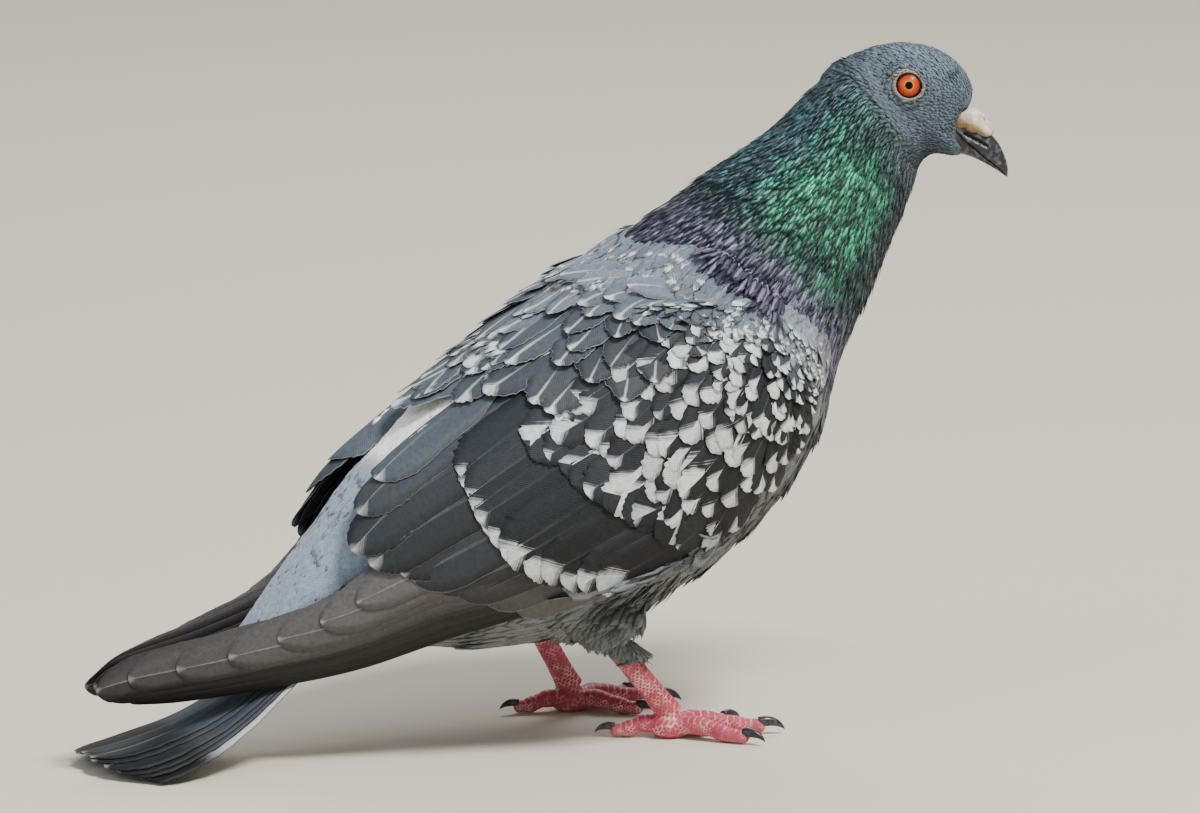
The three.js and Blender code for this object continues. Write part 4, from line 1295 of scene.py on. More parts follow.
# %% One tract of feathers laid on a surface
def barb_ends(start, length, web_width, tip_share, sweep):
    """Each barb leaves the shaft at a slant and ends where it meets the feather's outline."""
    low = np.zeros(np.broadcast_shapes(start.shape, web_width[:, None].shape))
    high = np.broadcast_to(web_width[:, None], low.shape)
    for _ in range(HALVINGS):
        guess = (low + high) / 2
        reach = (start + guess * sweep) / length
        inside = guess < web_width[:, None] * half_width(reach, tip_share[:, None])
        low = np.where(inside, guess, low)
        high = np.where(inside, high, guess)
    return low


def lay_feathers(surface, handed, tract, side_seed):
    """Grids of points for all feathers of a tract, with their values for the finish."""
    tract = PLAIN_TRACT | tract
    count, rows, jitter = tract["count"], tract["rows"], tract["jitter"]
    rng = np.random.default_rng(tract["seed"] + side_seed)
    order = np.linspace(0, 1, count)
    root = along(tract["roots"], order) + rng.normal(0, jitter * 0.5, (count, 2)) * UNEVEN_PLACES
    tip = along(tract["tips"], order) + rng.normal(0, jitter, (count, 2)) * UNEVEN_PLACES
    width = along([(w,) for w in tract["widths"]], order)[:, 0] * rng.normal(1, UNEVEN_WIDTH, count)
    ease = 1 - (1 - np.linspace(0, 1, rows)) ** ROW_CROWDING
    run = tip - root
    line = surface(root[:, None] + run[:, None] * np.linspace(0, 1, LENGTH_STEPS)[:, None])
    length = np.linalg.norm(np.diff(line, axis=1), axis=-1).sum(1)
    web_width = np.stack([width * (1 - tract["outer"]), width * tract["outer"]], -1)
    taper = np.array([tract["slant"], 1.0])
    tip_share = np.clip(tract["round"] * 0.5 * (width / length)[:, None] * taper, 0.05, 0.8)
    length = length[:, None, None]
    start = ease[None, :, None] * length
    tipward = ramp(ease, 0.3, 0.8)[None, :, None]
    fray = rng.random((count, rows, 2)) * tract["ragged"] * (0.3 + 0.7 * tipward)
    barbs = barb_ends(start, length, web_width, tip_share, tract["sweep"]) * (1 - fray)
    # Across each row of the grid: offset to the side in millimetres and share of the length.
    offset = np.where(VANE_COLUMNS < 0, barbs[..., :1], barbs[..., 1:]) * VANE_COLUMNS
    share_here = (start + np.abs(offset) * tract["sweep"]) / length
    share_here = np.minimum(share_here, 1 - 0.02 * (1 - ease[None, :, None]))
    spine = root[:, None, None] + run[:, None, None] * share_here[..., None]
    run_here = np.broadcast_to(run[:, None, None], spine.shape)
    place = spine + sideways(surface, spine, run_here) * offset[..., None]
    across = offset / np.maximum(width * 0.5, 0.1)[:, None, None]
    rank = order[:, None, None]
    lift = mix(*tract["lift"], share_here**1.2)
    stack = (tract["stack"] * order * (count - 1))[:, None, None]
    edges = tract["roll"] * across, -tract["camber"] * across**2
    shaft = SHAFT_HEIGHT * (np.abs(VANE_COLUMNS) < 0.03) * (1 - 0.8 * share_here)
    shade = rng.random(count)
    loose = rng.normal(0, tract["loose"], count)[:, None, None] * share_here
    tuck = tract["tuck"] * (1 - rank) ** 2 * np.clip(-across, 0, 2) ** 2
    raised = lift + stack + edges[0] + edges[1] + shaft + loose - tuck
    normal = outward_normal(surface, place, handed)
    over_side = surface(place) + normal * raised[..., None]
    under_side = over_side - normal * (VANE_THICKNESS + shaft * 0.5)[..., None]
    tints = along([linear(c) for c in tract["tints"]], order)[:, None, None]
    tint = np.broadcast_to(tints, (*offset.shape, 3))
    if "band" in tract:
        low_end, high_end, hex_code = tract["band"]
        wavy = share_here + 0.03 * np.abs(across)
        tint = mix(tint, np.array(linear(hex_code)), ramp(wavy, low_end, high_end)[..., None])
    mark = along(np.broadcast_to(tract["mark"], (2, 3)), order)
    spread = 1 + rng.normal(0, tract["mark_spread"], (count, 3)) * [1, 1, 0]
    vane = np.broadcast_arrays(0.5 + 0.5 * VANE_COLUMNS, np.broadcast_to(ease[:, None], offset.shape))
    return {
        "over": over_side,
        "under": under_side,
        "vane": np.stack(vane, -1),
        "barb": np.broadcast_to(start, offset.shape),
        "shade": np.broadcast_to(shade[:, None, None], offset.shape),
        "mark": np.broadcast_to((mark * spread)[:, None, None], (*offset.shape, 3)),
        "shaft": np.full(offset.shape, tract["shaft"]),
        "tint": tint,
    }


# %% One piece from several tracts
STORED = {
    "barb": "FLOAT", "shade": "FLOAT", "shaft": "FLOAT", "mark": "FLOAT_VECTOR", "tint": "FLOAT_COLOR",
}
CELL_EDGE = 0.04


def feather_piece(name, slot, tracts, finish, *nodes):
    """Joins laid tracts into one piece of closed thin vanes; each has its own cell of the map."""
    points, faces, vane_uv, bake_uv = [], [], [], []
    values = {key: [] for key in STORED}
    cells = math.ceil(math.sqrt(sum(len(laid["over"]) for laid in tracts)))
    start = done = 0
    for laid in tracts:
        count, rows, columns = laid["over"].shape[:3]
        lower = rows * columns
        grid = np.arange(lower).reshape(rows, columns)
        quads = np.stack([grid[:-1, :-1], grid[1:, :-1], grid[1:, 1:], grid[:-1, 1:]], -1).reshape(-1, 4)
        rim = np.concatenate([grid[0], grid[1:, -1], grid[-1, -2::-1], grid[-2:0:-1, 0]])
        ahead = np.roll(rim, -1)
        wall = np.stack([rim, ahead, ahead + lower, rim + lower], -1)
        closed = np.concatenate([quads, quads[:, ::-1] + lower, wall])
        for f in range(count):
            faces.append(closed + start)
            points += [laid["over"][f].reshape(-1, 3), laid["under"][f].reshape(-1, 3)]
            uv = laid["vane"].reshape(-1, 2)
            cell = np.array([done % cells, done // cells])
            vane_uv += [uv, uv]
            bake_uv += [(cell + CELL_EDGE + (1 - 2 * CELL_EDGE) * uv) / cells] * 2
            for key in values:
                values[key] += [laid[key][f].reshape(lower, -1)] * 2
            start += 2 * lower
            done += 1
    made = new_object(name, np.concatenate(points), np.concatenate(faces))
    mesh = made.data
    loops = np.empty(len(mesh.loops), int)
    mesh.loops.foreach_get("vertex_index", loops)
    for layer_name, uvs in (("Vane", vane_uv), ("OFBake", bake_uv)):
        layer = mesh.uv_layers.new(name=layer_name)
        layer.data.foreach_set("uv", np.concatenate(uvs)[loops].ravel())
    for key, kind in STORED.items():
        store(mesh, key, kind, np.concatenate(values[key]))
    mesh.materials.append(finish)
    keep(made, slot, *nodes)
    print(f"{name}: {done} feathers, {2 * len(mesh.polygons)} triangles")


# %% [markdown]
# ## The folded wing
# From the back downwards lie scapulars, then rows of coverts that grow larger to the rear,
# then tertials, and below them the long primaries. A pigeon with a chequered wing has
# pale tips on its coverts. On this bird they are broad, white and ragged.
# Places on the wing are written as (share along it, share across it from its upper edge).

# %% Tracts of the wing
DARK = "#24272b"
# Coverts have flat vanes with their lower edge pressed down a little.
COVERT = {"roll": -0.15, "camber": 0.2}
BLUE_SLATE = ["#73808d", "#6b7784", "#626e7a"]
MID_SLATE = ["#66727e", "#59646f", "#4f5862"]
DEEP_SLATE = ["#525c67", "#474f58", "#404349"]
# Rows of scapulars from the shoulder to the rump: share along the wing at the back, width, tints.
SCAPULAR_ROWS = [
    (0.105, 7.5, BLUE_SLATE), (0.128, 8.5, MID_SLATE), (0.155, 9.5, MID_SLATE), (0.185, 10.5, MID_SLATE),
    (0.22, 11.5, DEEP_SLATE), (0.26, 12.5, DEEP_SLATE), (0.302, 13.5, DEEP_SLATE), (0.347, 14, DEEP_SLATE),
]


def hidden_share(at):
    """How far the root of a scapular lies in front of its tip; the front rows are the shortest."""
    return min(0.15, 0.03 + 0.45 * at)


SCAPULARS = [
    {
        "count": 6 if at > 0.12 else 5, "seed": 20 + r, "rows": 24, "jitter": 0.13, "round": 1.5,
        "roots": [
            (at - 0.9 * hidden_share(at), max(-0.42, 0.2 - 4.6 * at)), (at - hidden_share(at), -0.16),
            (at - hidden_share(at), 0.02), (at - hidden_share(at), 0.16),
        ],
        "tips": [
            (at + 0.02, max(0.6 * at - 0.34, 0.2 - 4 * at)), (at - 0.01, -0.02),
            (at - 0.03 - 0.03 * min(1, 5 * at), 0.14), (max(at - 0.085, 0.56 * at - 0.01), 0.3),
        ],
        "widths": [size, size], "lift": (9 * at - 4.9, min(4 * at - 0.35, 0.4)), "roll": 0.05,
        "camber": 0.2, "mark": (0.08, 0.1, 0.04), "mark_spread": 0.6, "shaft": 0.85, "ragged": 0.22,
        "loose": 0.1, "tints": tints,
    }
    for r, (at, size, tints) in enumerate(SCAPULAR_ROWS)
]
LESSER_ROWS = [
    (0.03, ["#5b6570", "#59636d", "#7c8893"]), (0.052, ["#4b545e", "#3b424a", "#5a646e"]),
    (0.074, ["#454d56", DARK, "#3d444c"]), (0.096, ["#3d444c", DARK, DARK]),
    (0.12, ["#363c43", DARK, DARK]),
]
LESSER = [
    {
        "count": 20, "seed": 40 + r, "rows": 16, "jitter": 0.1, "roll": -0.1, "camber": 0.2, "loose": 0.16,
        "roots": [
            (max(at - 0.06, 0), 0.16), (max(at - 0.065, 0), 0.37), (max(at - 0.06, 0), 0.62),
            (at - 0.03, 0.83),
        ],
        "tips": [(at + 0.005, 0.26), (at + 0.01, 0.47), (at, 0.72), (at - 0.02, WING_FOOT)],
        "widths": [4.6 + 0.5 * r, 4.4 + 0.4 * r], "lift": (-3.6 + 0.4 * r, -0.1), "tints": tints,
        "mark": (0.19 + 0.015 * r, 0.15, 0.0), "mark_spread": 0.5, "shaft": 0.15, "ragged": 0.25,
    }
    for r, (at, tints) in enumerate(LESSER_ROWS)
]
MEDIAN = [
    COVERT | {
        "count": 15, "seed": 50 + r, "rows": 22, "jitter": 0.07,
        "roots": [(at - 0.09, 0.2), (at - 0.1, 0.4), (at - 0.1, 0.61), (at - 0.09, 0.82)],
        "tips": [(at + 0.02, 0.27), (at + 0.006, 0.48), (at - 0.014, 0.71), (at - 0.06, WING_FOOT)],
        "widths": [8.4 + r, 7.8 + 0.9 * r], "lift": (-1.5, -0.4 - 0.05 * r), "loose": 0.1,
        "mark": (0.23, 0.2, 0.0), "mark_spread": 0.35, "shaft": 0.1, "ragged": 0.2,
        "tints": ["#33383f", DARK, DARK],
    }
    for r, at in enumerate([0.148, 0.183, 0.22, 0.258])
]
MEDIAN.append(
    COVERT | {
        "count": 12, "seed": 60, "rows": 26, "jitter": 0.04,
        "roots": [(0.19, 0.22), (0.18, 0.42), (0.17, 0.64), (0.15, 0.82)],
        "tips": [(0.312, 0.3), (0.295, 0.49), (0.28, 0.7), (0.235, WING_FOOT)],
        "widths": [14, 13], "lift": (-1.5, -0.6),
        "mark": (0.15, 0.13, 0.0), "mark_spread": 0.45, "shaft": 0.1, "ragged": 0.18,
        "tints": ["#343a41", "#2b3036", DARK],
    }
)
GREATER = COVERT | {
    "count": 14, "seed": 61, "rows": 34, "jitter": 0.02, "round": 1.2,
    "roots": [(0.22, 0.2), (0.24, 0.42), (0.24, 0.65), (0.2, 0.85)],
    "tips": [(0.395, 0.31), (0.415, 0.52), (0.405, 0.76), (0.335, WING_FOOT)],
    "widths": [17, 16], "lift": (-1.4, -0.7),
    "mark": ((0.07, 0.07, 0.0), (0.2, 0.18, 0.0)), "mark_spread": 0.2, "shaft": 0.05, "ragged": 0.14,
    "tints": ["#30353b", DARK, "#232529"],
}
TERTIALS = {
    "count": 5, "seed": 62, "rows": 40, "jitter": 0.01, "round": 1.35,
    "roots": [(0.25, 0.0), (0.26, 0.12), (0.28, 0.25), (0.29, 0.39), (0.3, 0.5)],
    "tips": [(0.49, 0.08), (0.535, 0.14), (0.567, 0.27), (0.556, 0.43), (0.53, 0.56)],
    "widths": [15, 17, 18], "lift": (-1.2, 0.1), "stack": -0.22, "tuck": 4.4, "roll": 0.25, "camber": 0.3,
    "mark": (0.02, 0.05, 0.03), "mark_spread": 0.3, "shaft": 0.2, "ragged": 0.07,
    "tints": ["#4b545d", "#363b41", "#2f3338"],
}
SECONDARIES = {
    "count": 5, "seed": 63, "rows": 40, "jitter": 0.012, "round": 1.3,
    "roots": [(0.3, 0.53), (0.3, 0.66), (0.29, 0.78), (0.27, 0.88)],
    "tips": [(0.52, 0.63), (0.5, 0.72), (0.465, 0.81), (0.43, 0.92)],
    "widths": [16, 15], "lift": (-1.7, -1.0), "stack": -0.2, "roll": 0.2, "camber": 0.2,
    "mark": (0.0, 0.0, 0.03), "mark_spread": 0.3, "shaft": 0.1,
    "tints": ["#30343a", "#3f4042", "#525151"],
}
PRIMARIES = {
    "count": 10, "seed": 64, "rows": 60, "jitter": 0.005, "round": 1.5, "slant": 2.4, "outer": 0.36,
    "sweep": 2.2, "roots": [(0.33, 0.72), (0.32, 0.82), (0.31, 0.91), (0.3, 0.97)],
    "tips": [
        (0.585, 0.58), (0.65, 0.62), (0.735, 0.68), (0.84, 0.66), (0.97, 0.62), (0.955, 0.84), (0.9, 0.98),
    ],
    "widths": [15, 14, 12.5, 11, 10], "lift": (-1.9, -0.75), "stack": -0.22, "roll": 0.22,
    "mark": (0.0, 0.0, 0.008), "mark_spread": 0.1, "shaft": 0.22,
    "tints": ["#605f60", "#484748", "#19191a"],
}
# For each piece: its tracts, finish and slot, and below the solid that it stands for.
TRACTS = {
    "scapulars": (SCAPULARS, WING_VANES, "wing_coverts"),
    "lesser_coverts": (LESSER, WING_VANES, "wing_coverts"),
    "median_coverts": (MEDIAN, WING_VANES, "wing_coverts"),
    "greater_coverts": ([GREATER], WING_VANES, "wing_coverts"),
    "tertials": ([TERTIALS, SECONDARIES], FLIGHT_VANES, "flight_feathers"),
    "primaries": ([PRIMARIES], BLADE_VANES, "flight_feathers"),
}
STANDS_FOR = {"greater_coverts": "coverts", "tertials": "tertials", "primaries": "primaries"}
for side_name, sign in SIDES.items():
    for tract_name, (tracts, finish, slot) in TRACTS.items():
        laid = [lay_feathers(wing_surface(sign), -sign, tract, 100 * (sign + 1)) for tract in tracts]
        nodes = [f"wing_{side_name}_{STANDS_FOR[tract_name]}"] if tract_name in STANDS_FOR else []
        feather_piece(f"{tract_name}_{side_name}", slot, laid, finish, *nodes)

# %% [markdown]
# ## The tail
# Twelve tail feathers lie in a low fan, the middle pair on top and the outer ones lowest.
# They are slate blue with a broad black band towards the tip. The outermost feather is
# pale, so the tail has a white edge, and all tips are worn.

# %% Tail feathers
def tail_side(sign):
    def surface(place):
        return tail_surface(place * [1, sign])

    return surface


TAIL_FEATHERS = {
    "count": 5, "seed": 70, "rows": 50, "jitter": 0.02, "round": 1.7, "sweep": 1.2, "outer": 0.4,
    "roots": [(0.05, 0.04), (0.05, 0.16), (0.05, 0.3)],
    "tips": [(0.985, 0.14), (1.0, 0.19), (1.0, 0.48), (1.0, 0.52), (0.985, 0.7), (0.97, 0.74)],
    "widths": [17, 16.5, 12], "lift": (0.5, 0.75), "stack": -0.24, "roll": 0.3, "camber": 0.25,
    "mark": (0, 0, 0.045), "mark_spread": 0.2, "shaft": 0.2, "ragged": 0.14,
    "tints": ["#3a444e", "#333c45", "#3b434b"], "band": (0.58, 0.7, "#1b1e22"),
}
OUTERMOST = TAIL_FEATHERS | {
    "count": 1, "seed": 71, "roots": [(0.05, 0.34), (0.05, 0.34)], "tips": [(0.95, 0.88), (0.95, 0.88)],
    "widths": [12, 12], "lift": (-0.75, -0.7), "tints": ["#c3cad0", "#c3cad0"],
}
for side_name, sign in SIDES.items():
    half_tail = tail_side(sign)
    laid = [lay_feathers(half_tail, -sign, tract, 10 * (sign + 1)) for tract in (TAIL_FEATHERS, OUTERMOST)]
    feather_piece(f"tail_feathers_{side_name}", "tail_feathers", laid, BLADE_VANES, "tail")

# %% [markdown]
# ## Eyes, bill and cere
# The eyeball is a full sphere set deep in the head, so only a small cap shows between the
# lids. Its iris is orange-red with a yellow ring around the pupil. The bill is a
# lofted pair of horn blades with a small hook. The cere is a pair of swollen, chalky lobes
# over the nostrils. Modelling them by hand would give a seam between the lobes, so they
# are joined as one remeshed lump.

# %% Shapes made of rings
def lofted(rings):
    """Points and faces of a closed skin over rings of points."""
    count, sides = rings.shape[:2]
    grid = np.arange(count * sides).reshape(count, sides)
    beside = np.roll(grid, -1, 1)
    faces = np.stack([grid[:-1], beside[:-1], beside[1:], grid[1:]], -1).reshape(-1, 4).tolist()
    faces += [[b, a, count * sides] for a, b in zip(grid[0], beside[0])]
    faces += [[a, b, count * sides + 1] for a, b in zip(grid[-1], beside[-1])]
    return np.concatenate([rings.reshape(-1, 3), rings[[0, -1]].mean(1)]), faces


def ring_object(name, rings):
    made = new_object(name, *lofted(rings))
    shell = bmesh.new()
    shell.from_mesh(made.data)
    bmesh.ops.recalc_face_normals(shell, faces=shell.faces)
    shell.to_mesh(made.data)
    shell.free()
    made.data.shade_smooth()
    return made


def one_lump(name, parts, voxel, smoothing):
    """Joins closed parts, takes them away, and keeps one lump."""
    union = bmesh.new()
    for part in parts:
        union.from_mesh(part.data)
        bpy.data.objects.remove(part)
    mesh = bpy.data.meshes.new(name)
    union.to_mesh(mesh)
    union.free()
    return remeshed(in_scene(name, mesh), voxel, smoothing)


def ball(centre, radii, rings=24, sides=32):
    """Rings of points of an ellipsoid."""
    turn = np.linspace(0.02, math.pi - 0.02, rings)[:, None]
    around = np.linspace(0, 2 * math.pi, sides, endpoint=False)[None]
    unit_ball = np.stack(
        [np.sin(turn) * np.cos(around), np.sin(turn) * np.sin(around), np.cos(turn) + 0 * around], -1
    )
    return np.array(centre) + unit_ball * np.array(radii)


print("shapes made of rings: lofted skins, lumps and balls")

# %% Eyes
# The colours of the eye run outwards from the middle of the pupil. The radii of the ball,
# pupil and iris and the end of the run are in millimetres, and the iris has flecks of 0.45 mm.
EYE_RADIUS = 4.7
PUPIL = 0.98
IRIS = 2.72
EYE_RUN = 4.0
EYE_COLOURS = [
    (0, "#050406"), (PUPIL / EYE_RUN - 0.01, "#060505"), (PUPIL / EYE_RUN + 0.015, "#b8852e"),
    (0.335, "#c8641a"), (0.42, "#bd430f"), (0.6, "#ad3208"), (IRIS / EYE_RUN - 0.02, "#74200b"),
    (IRIS / EYE_RUN + 0.02, "#1a1010"), (1, "#120d0d"),
]
FLECK_SCALE = 2.2
# Moves the back of the ball out of the coloured run.
EYE_BACK = 9.0


def eye_material():
    """A wet clear front over a matt iris, so it shows small sharp highlights."""
    material, tree, shader = new_material("Glossy eye with orange iris")
    place = add_node(tree, "ShaderNodeAttribute", attribute_name="iris").outputs["Vector"]
    out = add_node(tree, "ShaderNodeVectorMath", {0: place}, operation="LENGTH").outputs["Value"]
    share = add_node(tree, "ShaderNodeMath", {0: out, 1: EYE_RUN}, operation="DIVIDE")
    colours = add_node(tree, "ShaderNodeValToRGB", {0: share})
    stops = colours.color_ramp.elements
    while len(stops) < len(EYE_COLOURS):
        stops.new(0.5)
    for stop, (at, colour) in zip(stops, EYE_COLOURS):
        stop.position = at
        stop.color = (*linear(colour), 1)
    grain = add_node(tree, "ShaderNodeTexNoise", {"Vector": place, "Scale": FLECK_SCALE, "Detail": 4.0})
    light = add_node(tree, "ShaderNodeMapRange", {0: grain, 1: 0.3, 2: 0.7, 3: 0.75, 4: 1.3})
    lit = add_node(tree, "ShaderNodeVectorMath", {0: colours, "Scale": light}, operation="SCALE")
    set_inputs(tree, shader, {
        "Base Color": lit, "Roughness": 0.35, "Specular IOR Level": 0.15,
        "Coat Weight": 0.15, "Coat Roughness": 0.03,
    })
    return material


EYE_MATERIAL = eye_material()
for side_name, sign in SIDES.items():
    local = ball((0, sign * EYE_SET, 0), (EYE_RADIUS,) * 3, 60, 72)
    eyeball = ring_object(f"eye_ball_{side_name}", on_head(local))
    seen = from_eye(in_head(points_of(eyeball.data)))
    facing = np.where(seen[:, 2] > 0, 1.0, EYE_BACK)
    iris = seen * [1, 1, 0] * facing[:, None]
    store(eyeball.data, "iris", "FLOAT_VECTOR", iris)
    eyeball.data.materials.append(EYE_MATERIAL)
    keep(eyeball, "eye", f"eye_{side_name}")
print("two eyeballs of radius", EYE_RADIUS)

# %% Horn
SCUFF_SCALE = 620.0
FLESH_TINT = "#9b928c"
GROOVE_SHADE = (0.004, 0.004, 0.005, 1)


def horn_material(name, base, pale, amount, roughness):
    """Dark horn, smooth and a little glossy, with pale matt scuffs of 1.6 mm and painted shade,
    near-black, in the grooves.
    """
    material, tree, shader = new_material(name)
    place = add_node(tree, "ShaderNodeTexCoord").outputs["Object"]
    scuffs = add_node(
        tree, "ShaderNodeTexNoise",
        {"Vector": place, "Scale": SCUFF_SCALE, "Detail": 5.0, "Distortion": 0.6},
    )
    scuffed = add_node(tree, "ShaderNodeMapRange", {0: scuffs, 1: 0.5, 2: 0.68, 3: 0.0, 4: amount})
    colour = add_node(
        tree, "ShaderNodeMix", {"Factor": scuffed, 6: base, 7: pale},
        data_type="RGBA",
    ).outputs[2]
    flesh = add_node(tree, "ShaderNodeAttribute", attribute_name="flesh").outputs["Fac"]
    colour = add_node(
        tree, "ShaderNodeMix", {"Factor": flesh, 6: colour, 7: FLESH_TINT}, data_type="RGBA"
    ).outputs[2]
    # Painted shade: the nostril's groove is painted near-black.
    groove = add_node(tree, "ShaderNodeAttribute", attribute_name="groove").outputs["Fac"]
    dark = add_node(
        tree, "ShaderNodeMix", {"Factor": groove, 6: colour, 7: GROOVE_SHADE}, data_type="RGBA"
    ).outputs[2]
    bump = add_node(tree, "ShaderNodeBump", {"Strength": 0.5, "Distance": 0.12 * MM, "Height": scuffs})
    set_inputs(tree, shader, {"Base Color": dark, "Normal": bump, "Roughness": roughness})
    return material


HORN = horn_material("Scuffed dark horn of the bill", "#24272c", "#878d93", 0.45, 0.36)
print("horn of the bill has", len(HORN.node_tree.nodes), "nodes")

# %% Bill
# Along the bill in the head's frame: x, ridge, mouth line, keel, half width.
BILL = [
    (9, 0.5, -3.6, -12.4, 4.6), (13, -1.4, -4.8, -11.8, 4.4), (17.5, -2.4, -6.6, -11.2, 3.9),
    (21.5, -2.9, -7.9, -10.5, 3.2), (25.7, -4.6, -9.1, -10.5, 2.4), (28.6, -6.9, -9.9, -10.75, 1.6),
    (30.4, -9.0, -10.6, -11.0, 0.9), (31.3, -10.9, -11.4, -11.3, 0.25),
]
MOUTH_GAP = 0.12
BILL_RINGS = 120
BILL_SIDES = 40
# Slits and swellings on the side of the bill: start and end as (x, z), and width.
NOSTRIL = (17.2, -5.3), (23.6, -5.9), 0.55
NOSTRIL_DEPTH = 1.0
LIP = (17.5, -6.5), (24.5, -7.0), 0.8
LIP_SWELL = 0.05
LOWER_BLADE_WIDTH = 0.93


def near_line(x, z, start, end, wide):
    """1 on a short line seen from the side, falling to 0 at a given width."""
    (ax, az), (bx, bz) = start, end
    run_x, run_z = bx - ax, bz - az
    t = np.clip(((x - ax) * run_x + (z - az) * run_z) / (run_x**2 + run_z**2), 0, 1)
    away = np.hypot(x - mix(ax, bx, t), z - mix(az, bz, t))
    return 1 - ramp(away, wide * 0.4, wide)


def bill_blade(name, upper, last, node):
    """One blade of the bill, from inside the head to its tip."""
    x, ridge_line, mouth, keel, wide = along(BILL, np.linspace(0, last, BILL_RINGS)).T
    around = np.linspace(0, math.pi, BILL_SIDES)
    arc_side = np.cos(around)
    inward = np.linspace(-1, 1, BILL_SIDES // 2 + 2)[1:-1]
    edge = mouth + (MOUTH_GAP if upper else -MOUTH_GAP)
    far = ridge_line if upper else keel
    out_y = wide[:, None] * np.sign(arc_side) * np.abs(arc_side) ** 0.75
    out_z = edge[:, None] + (far - edge)[:, None] * np.sin(around) ** 0.8
    y = np.concatenate([out_y, wide[:, None] * inward], 1) * (1.0 if upper else LOWER_BLADE_WIDTH)
    z = np.concatenate([out_z, np.repeat(edge[:, None], len(inward), 1)], 1)
    xs = np.repeat(x[:, None], y.shape[1], 1)
    if upper:
        slit = near_line(xs, z, *NOSTRIL)
        y = y * (1 - NOSTRIL_DEPTH * slit / np.maximum(np.abs(y), NOSTRIL_DEPTH))
        y = y * (1 + LIP_SWELL * near_line(xs, z, *LIP))
    made = ring_object(name, on_head(np.stack([xs, y, z], -1)))
    local = in_head(points_of(made.data))
    # groove marks the nostril slit, where shade is painted.
    store(made.data, "groove", "FLOAT", near_line(local[:, 0], local[:, 2], *NOSTRIL) * upper)
    gape = (1 - ramp(local[:, 0], 12.5, 17.5)) * (1 - ramp(np.abs(local[:, 2] + 6.5), 1, 3))
    store(made.data, "flesh", "FLOAT", 0.7 * gape)
    made.data.materials.append(HORN)
    keep(made, "bill", node)


bill_blade("bill_upper_blade", True, 1.0, "bill_upper")
bill_blade("bill_lower_blade", False, 0.93, "bill_lower")
print("bill from", BILL[0][0], "to", BILL[-1][0])

# %% Cere
# The lobes of one side in the head's frame: middle, then radii.
CERE_LOBES = [
    (17.4, 2.2, -2.3, 3.7, 2.3, 2.5), (20.4, 1.6, -2.9, 3.0, 1.7, 1.8), (14.8, 2.7, -3.0, 2.6, 2.2, 2.1),
    (17.2, 1.1, -0.9, 2.8, 1.6, 1.6),
]
CERE_VOXEL = 0.28
CERE_SMOOTHING = 4
CERE_ROUGHNESS = 0.2
# Grains of powder of 1.9 mm; finer ones would not show.
POWDER_SCALE = 520.0
# The ridge of the bill under the cere; below it the powder is stained.
CERE_RIDGE = [13, 17.5, 21.5, 25.7], [-1.2, -1.8, -2.6, -4.6]


def cere_material():
    """Soft skin under white powder: matt like chalk, with ochre stains low down."""
    material, tree, shader = new_material("Chalky powdered cere")
    place = add_node(tree, "ShaderNodeTexCoord").outputs["Object"]
    low = add_node(tree, "ShaderNodeAttribute", attribute_name="low").outputs["Fac"]
    powder = add_node(tree, "ShaderNodeTexNoise", {"Vector": place, "Scale": POWDER_SCALE, "Detail": 5.0})
    stain = add_node(tree, "ShaderNodeMath", {0: low, 1: powder}, operation="MULTIPLY")
    stain = add_node(tree, "ShaderNodeMapRange", {0: stain, 1: 0.04, 2: 0.3, 3: 0.0, 4: 0.95})
    colour = add_node(
        tree, "ShaderNodeMix",
        {"Factor": stain, 6: "#e6ddcf", 7: "#a5855a"}, data_type="RGBA",
    ).outputs[2]
    specks = add_node(tree, "ShaderNodeMapRange", {0: powder, 1: 0.35, 2: 0.6, 3: 0.55, 4: 0.98})
    lit = add_node(tree, "ShaderNodeVectorMath", {0: colour, "Scale": specks}, operation="SCALE")
    bump = add_node(tree, "ShaderNodeBump", {"Strength": 0.7, "Distance": 0.25 * MM, "Height": powder})
    set_inputs(tree, shader, {"Base Color": lit, "Normal": bump, "Roughness": 0.9})
    return material


lobes = []
for sign in SIDES.values():
    for x, y, z, *radii in CERE_LOBES:
        lobes.append(ring_object("lobe", on_head(ball((x, sign * y, z), radii))))
cere = one_lump("cere_lobes", lobes, CERE_VOXEL, CERE_SMOOTHING)
cere_points = points_of(cere.data)
roughness = blotches(cere_points, 1.3, 6) + 0.5 * blotches(cere_points, 0.6, 7)
move_points(cere.data, cere_points + normals_of(cere.data) * (CERE_ROUGHNESS * roughness)[:, None])
cere_local = in_head(points_of(cere.data))
above_ridge = cere_local[:, 2] - np.interp(cere_local[:, 0], *CERE_RIDGE)
store(cere.data, "low", "FLOAT", 1 - ramp(above_ridge, -2.6, 1.6))
cere.data.materials.append(cere_material())
keep(cere, "cere", "cere")
print("cere has", len(cere.data.polygons), "faces")

# %% [markdown]
# ## Legs and feet
# A pigeon's tarsus and toes are bare and pink-red. Broad plates cross the front of the
# tarsus and the top of each toe, and small round scales cover the sides and soles.
# Each scale could be its own small mesh, but they grow into one another. So each foot is
# one mesh: smooth limbs are joined and softened first, and the scales are raised
# afterwards from the distance along and around the nearest limb.

# %% Limbs of a foot
# Heading in degrees, length, radius and claw size of each toe.
TOES = {
    "middle": (0, 24, 2.6, 1.0), "inner": (35, 19.5, 2.3, 0.9),
    "outer": (-34, 22, 2.3, 0.9), "hind": (176, 15, 2.2, 0.75),
}
TARSUS_RADIUS = 2.75
TARSUS_FLARE = 0.7
TOE_ARCH = 2.2
TOE_START = 1.5
LIMB_STEPS = 60


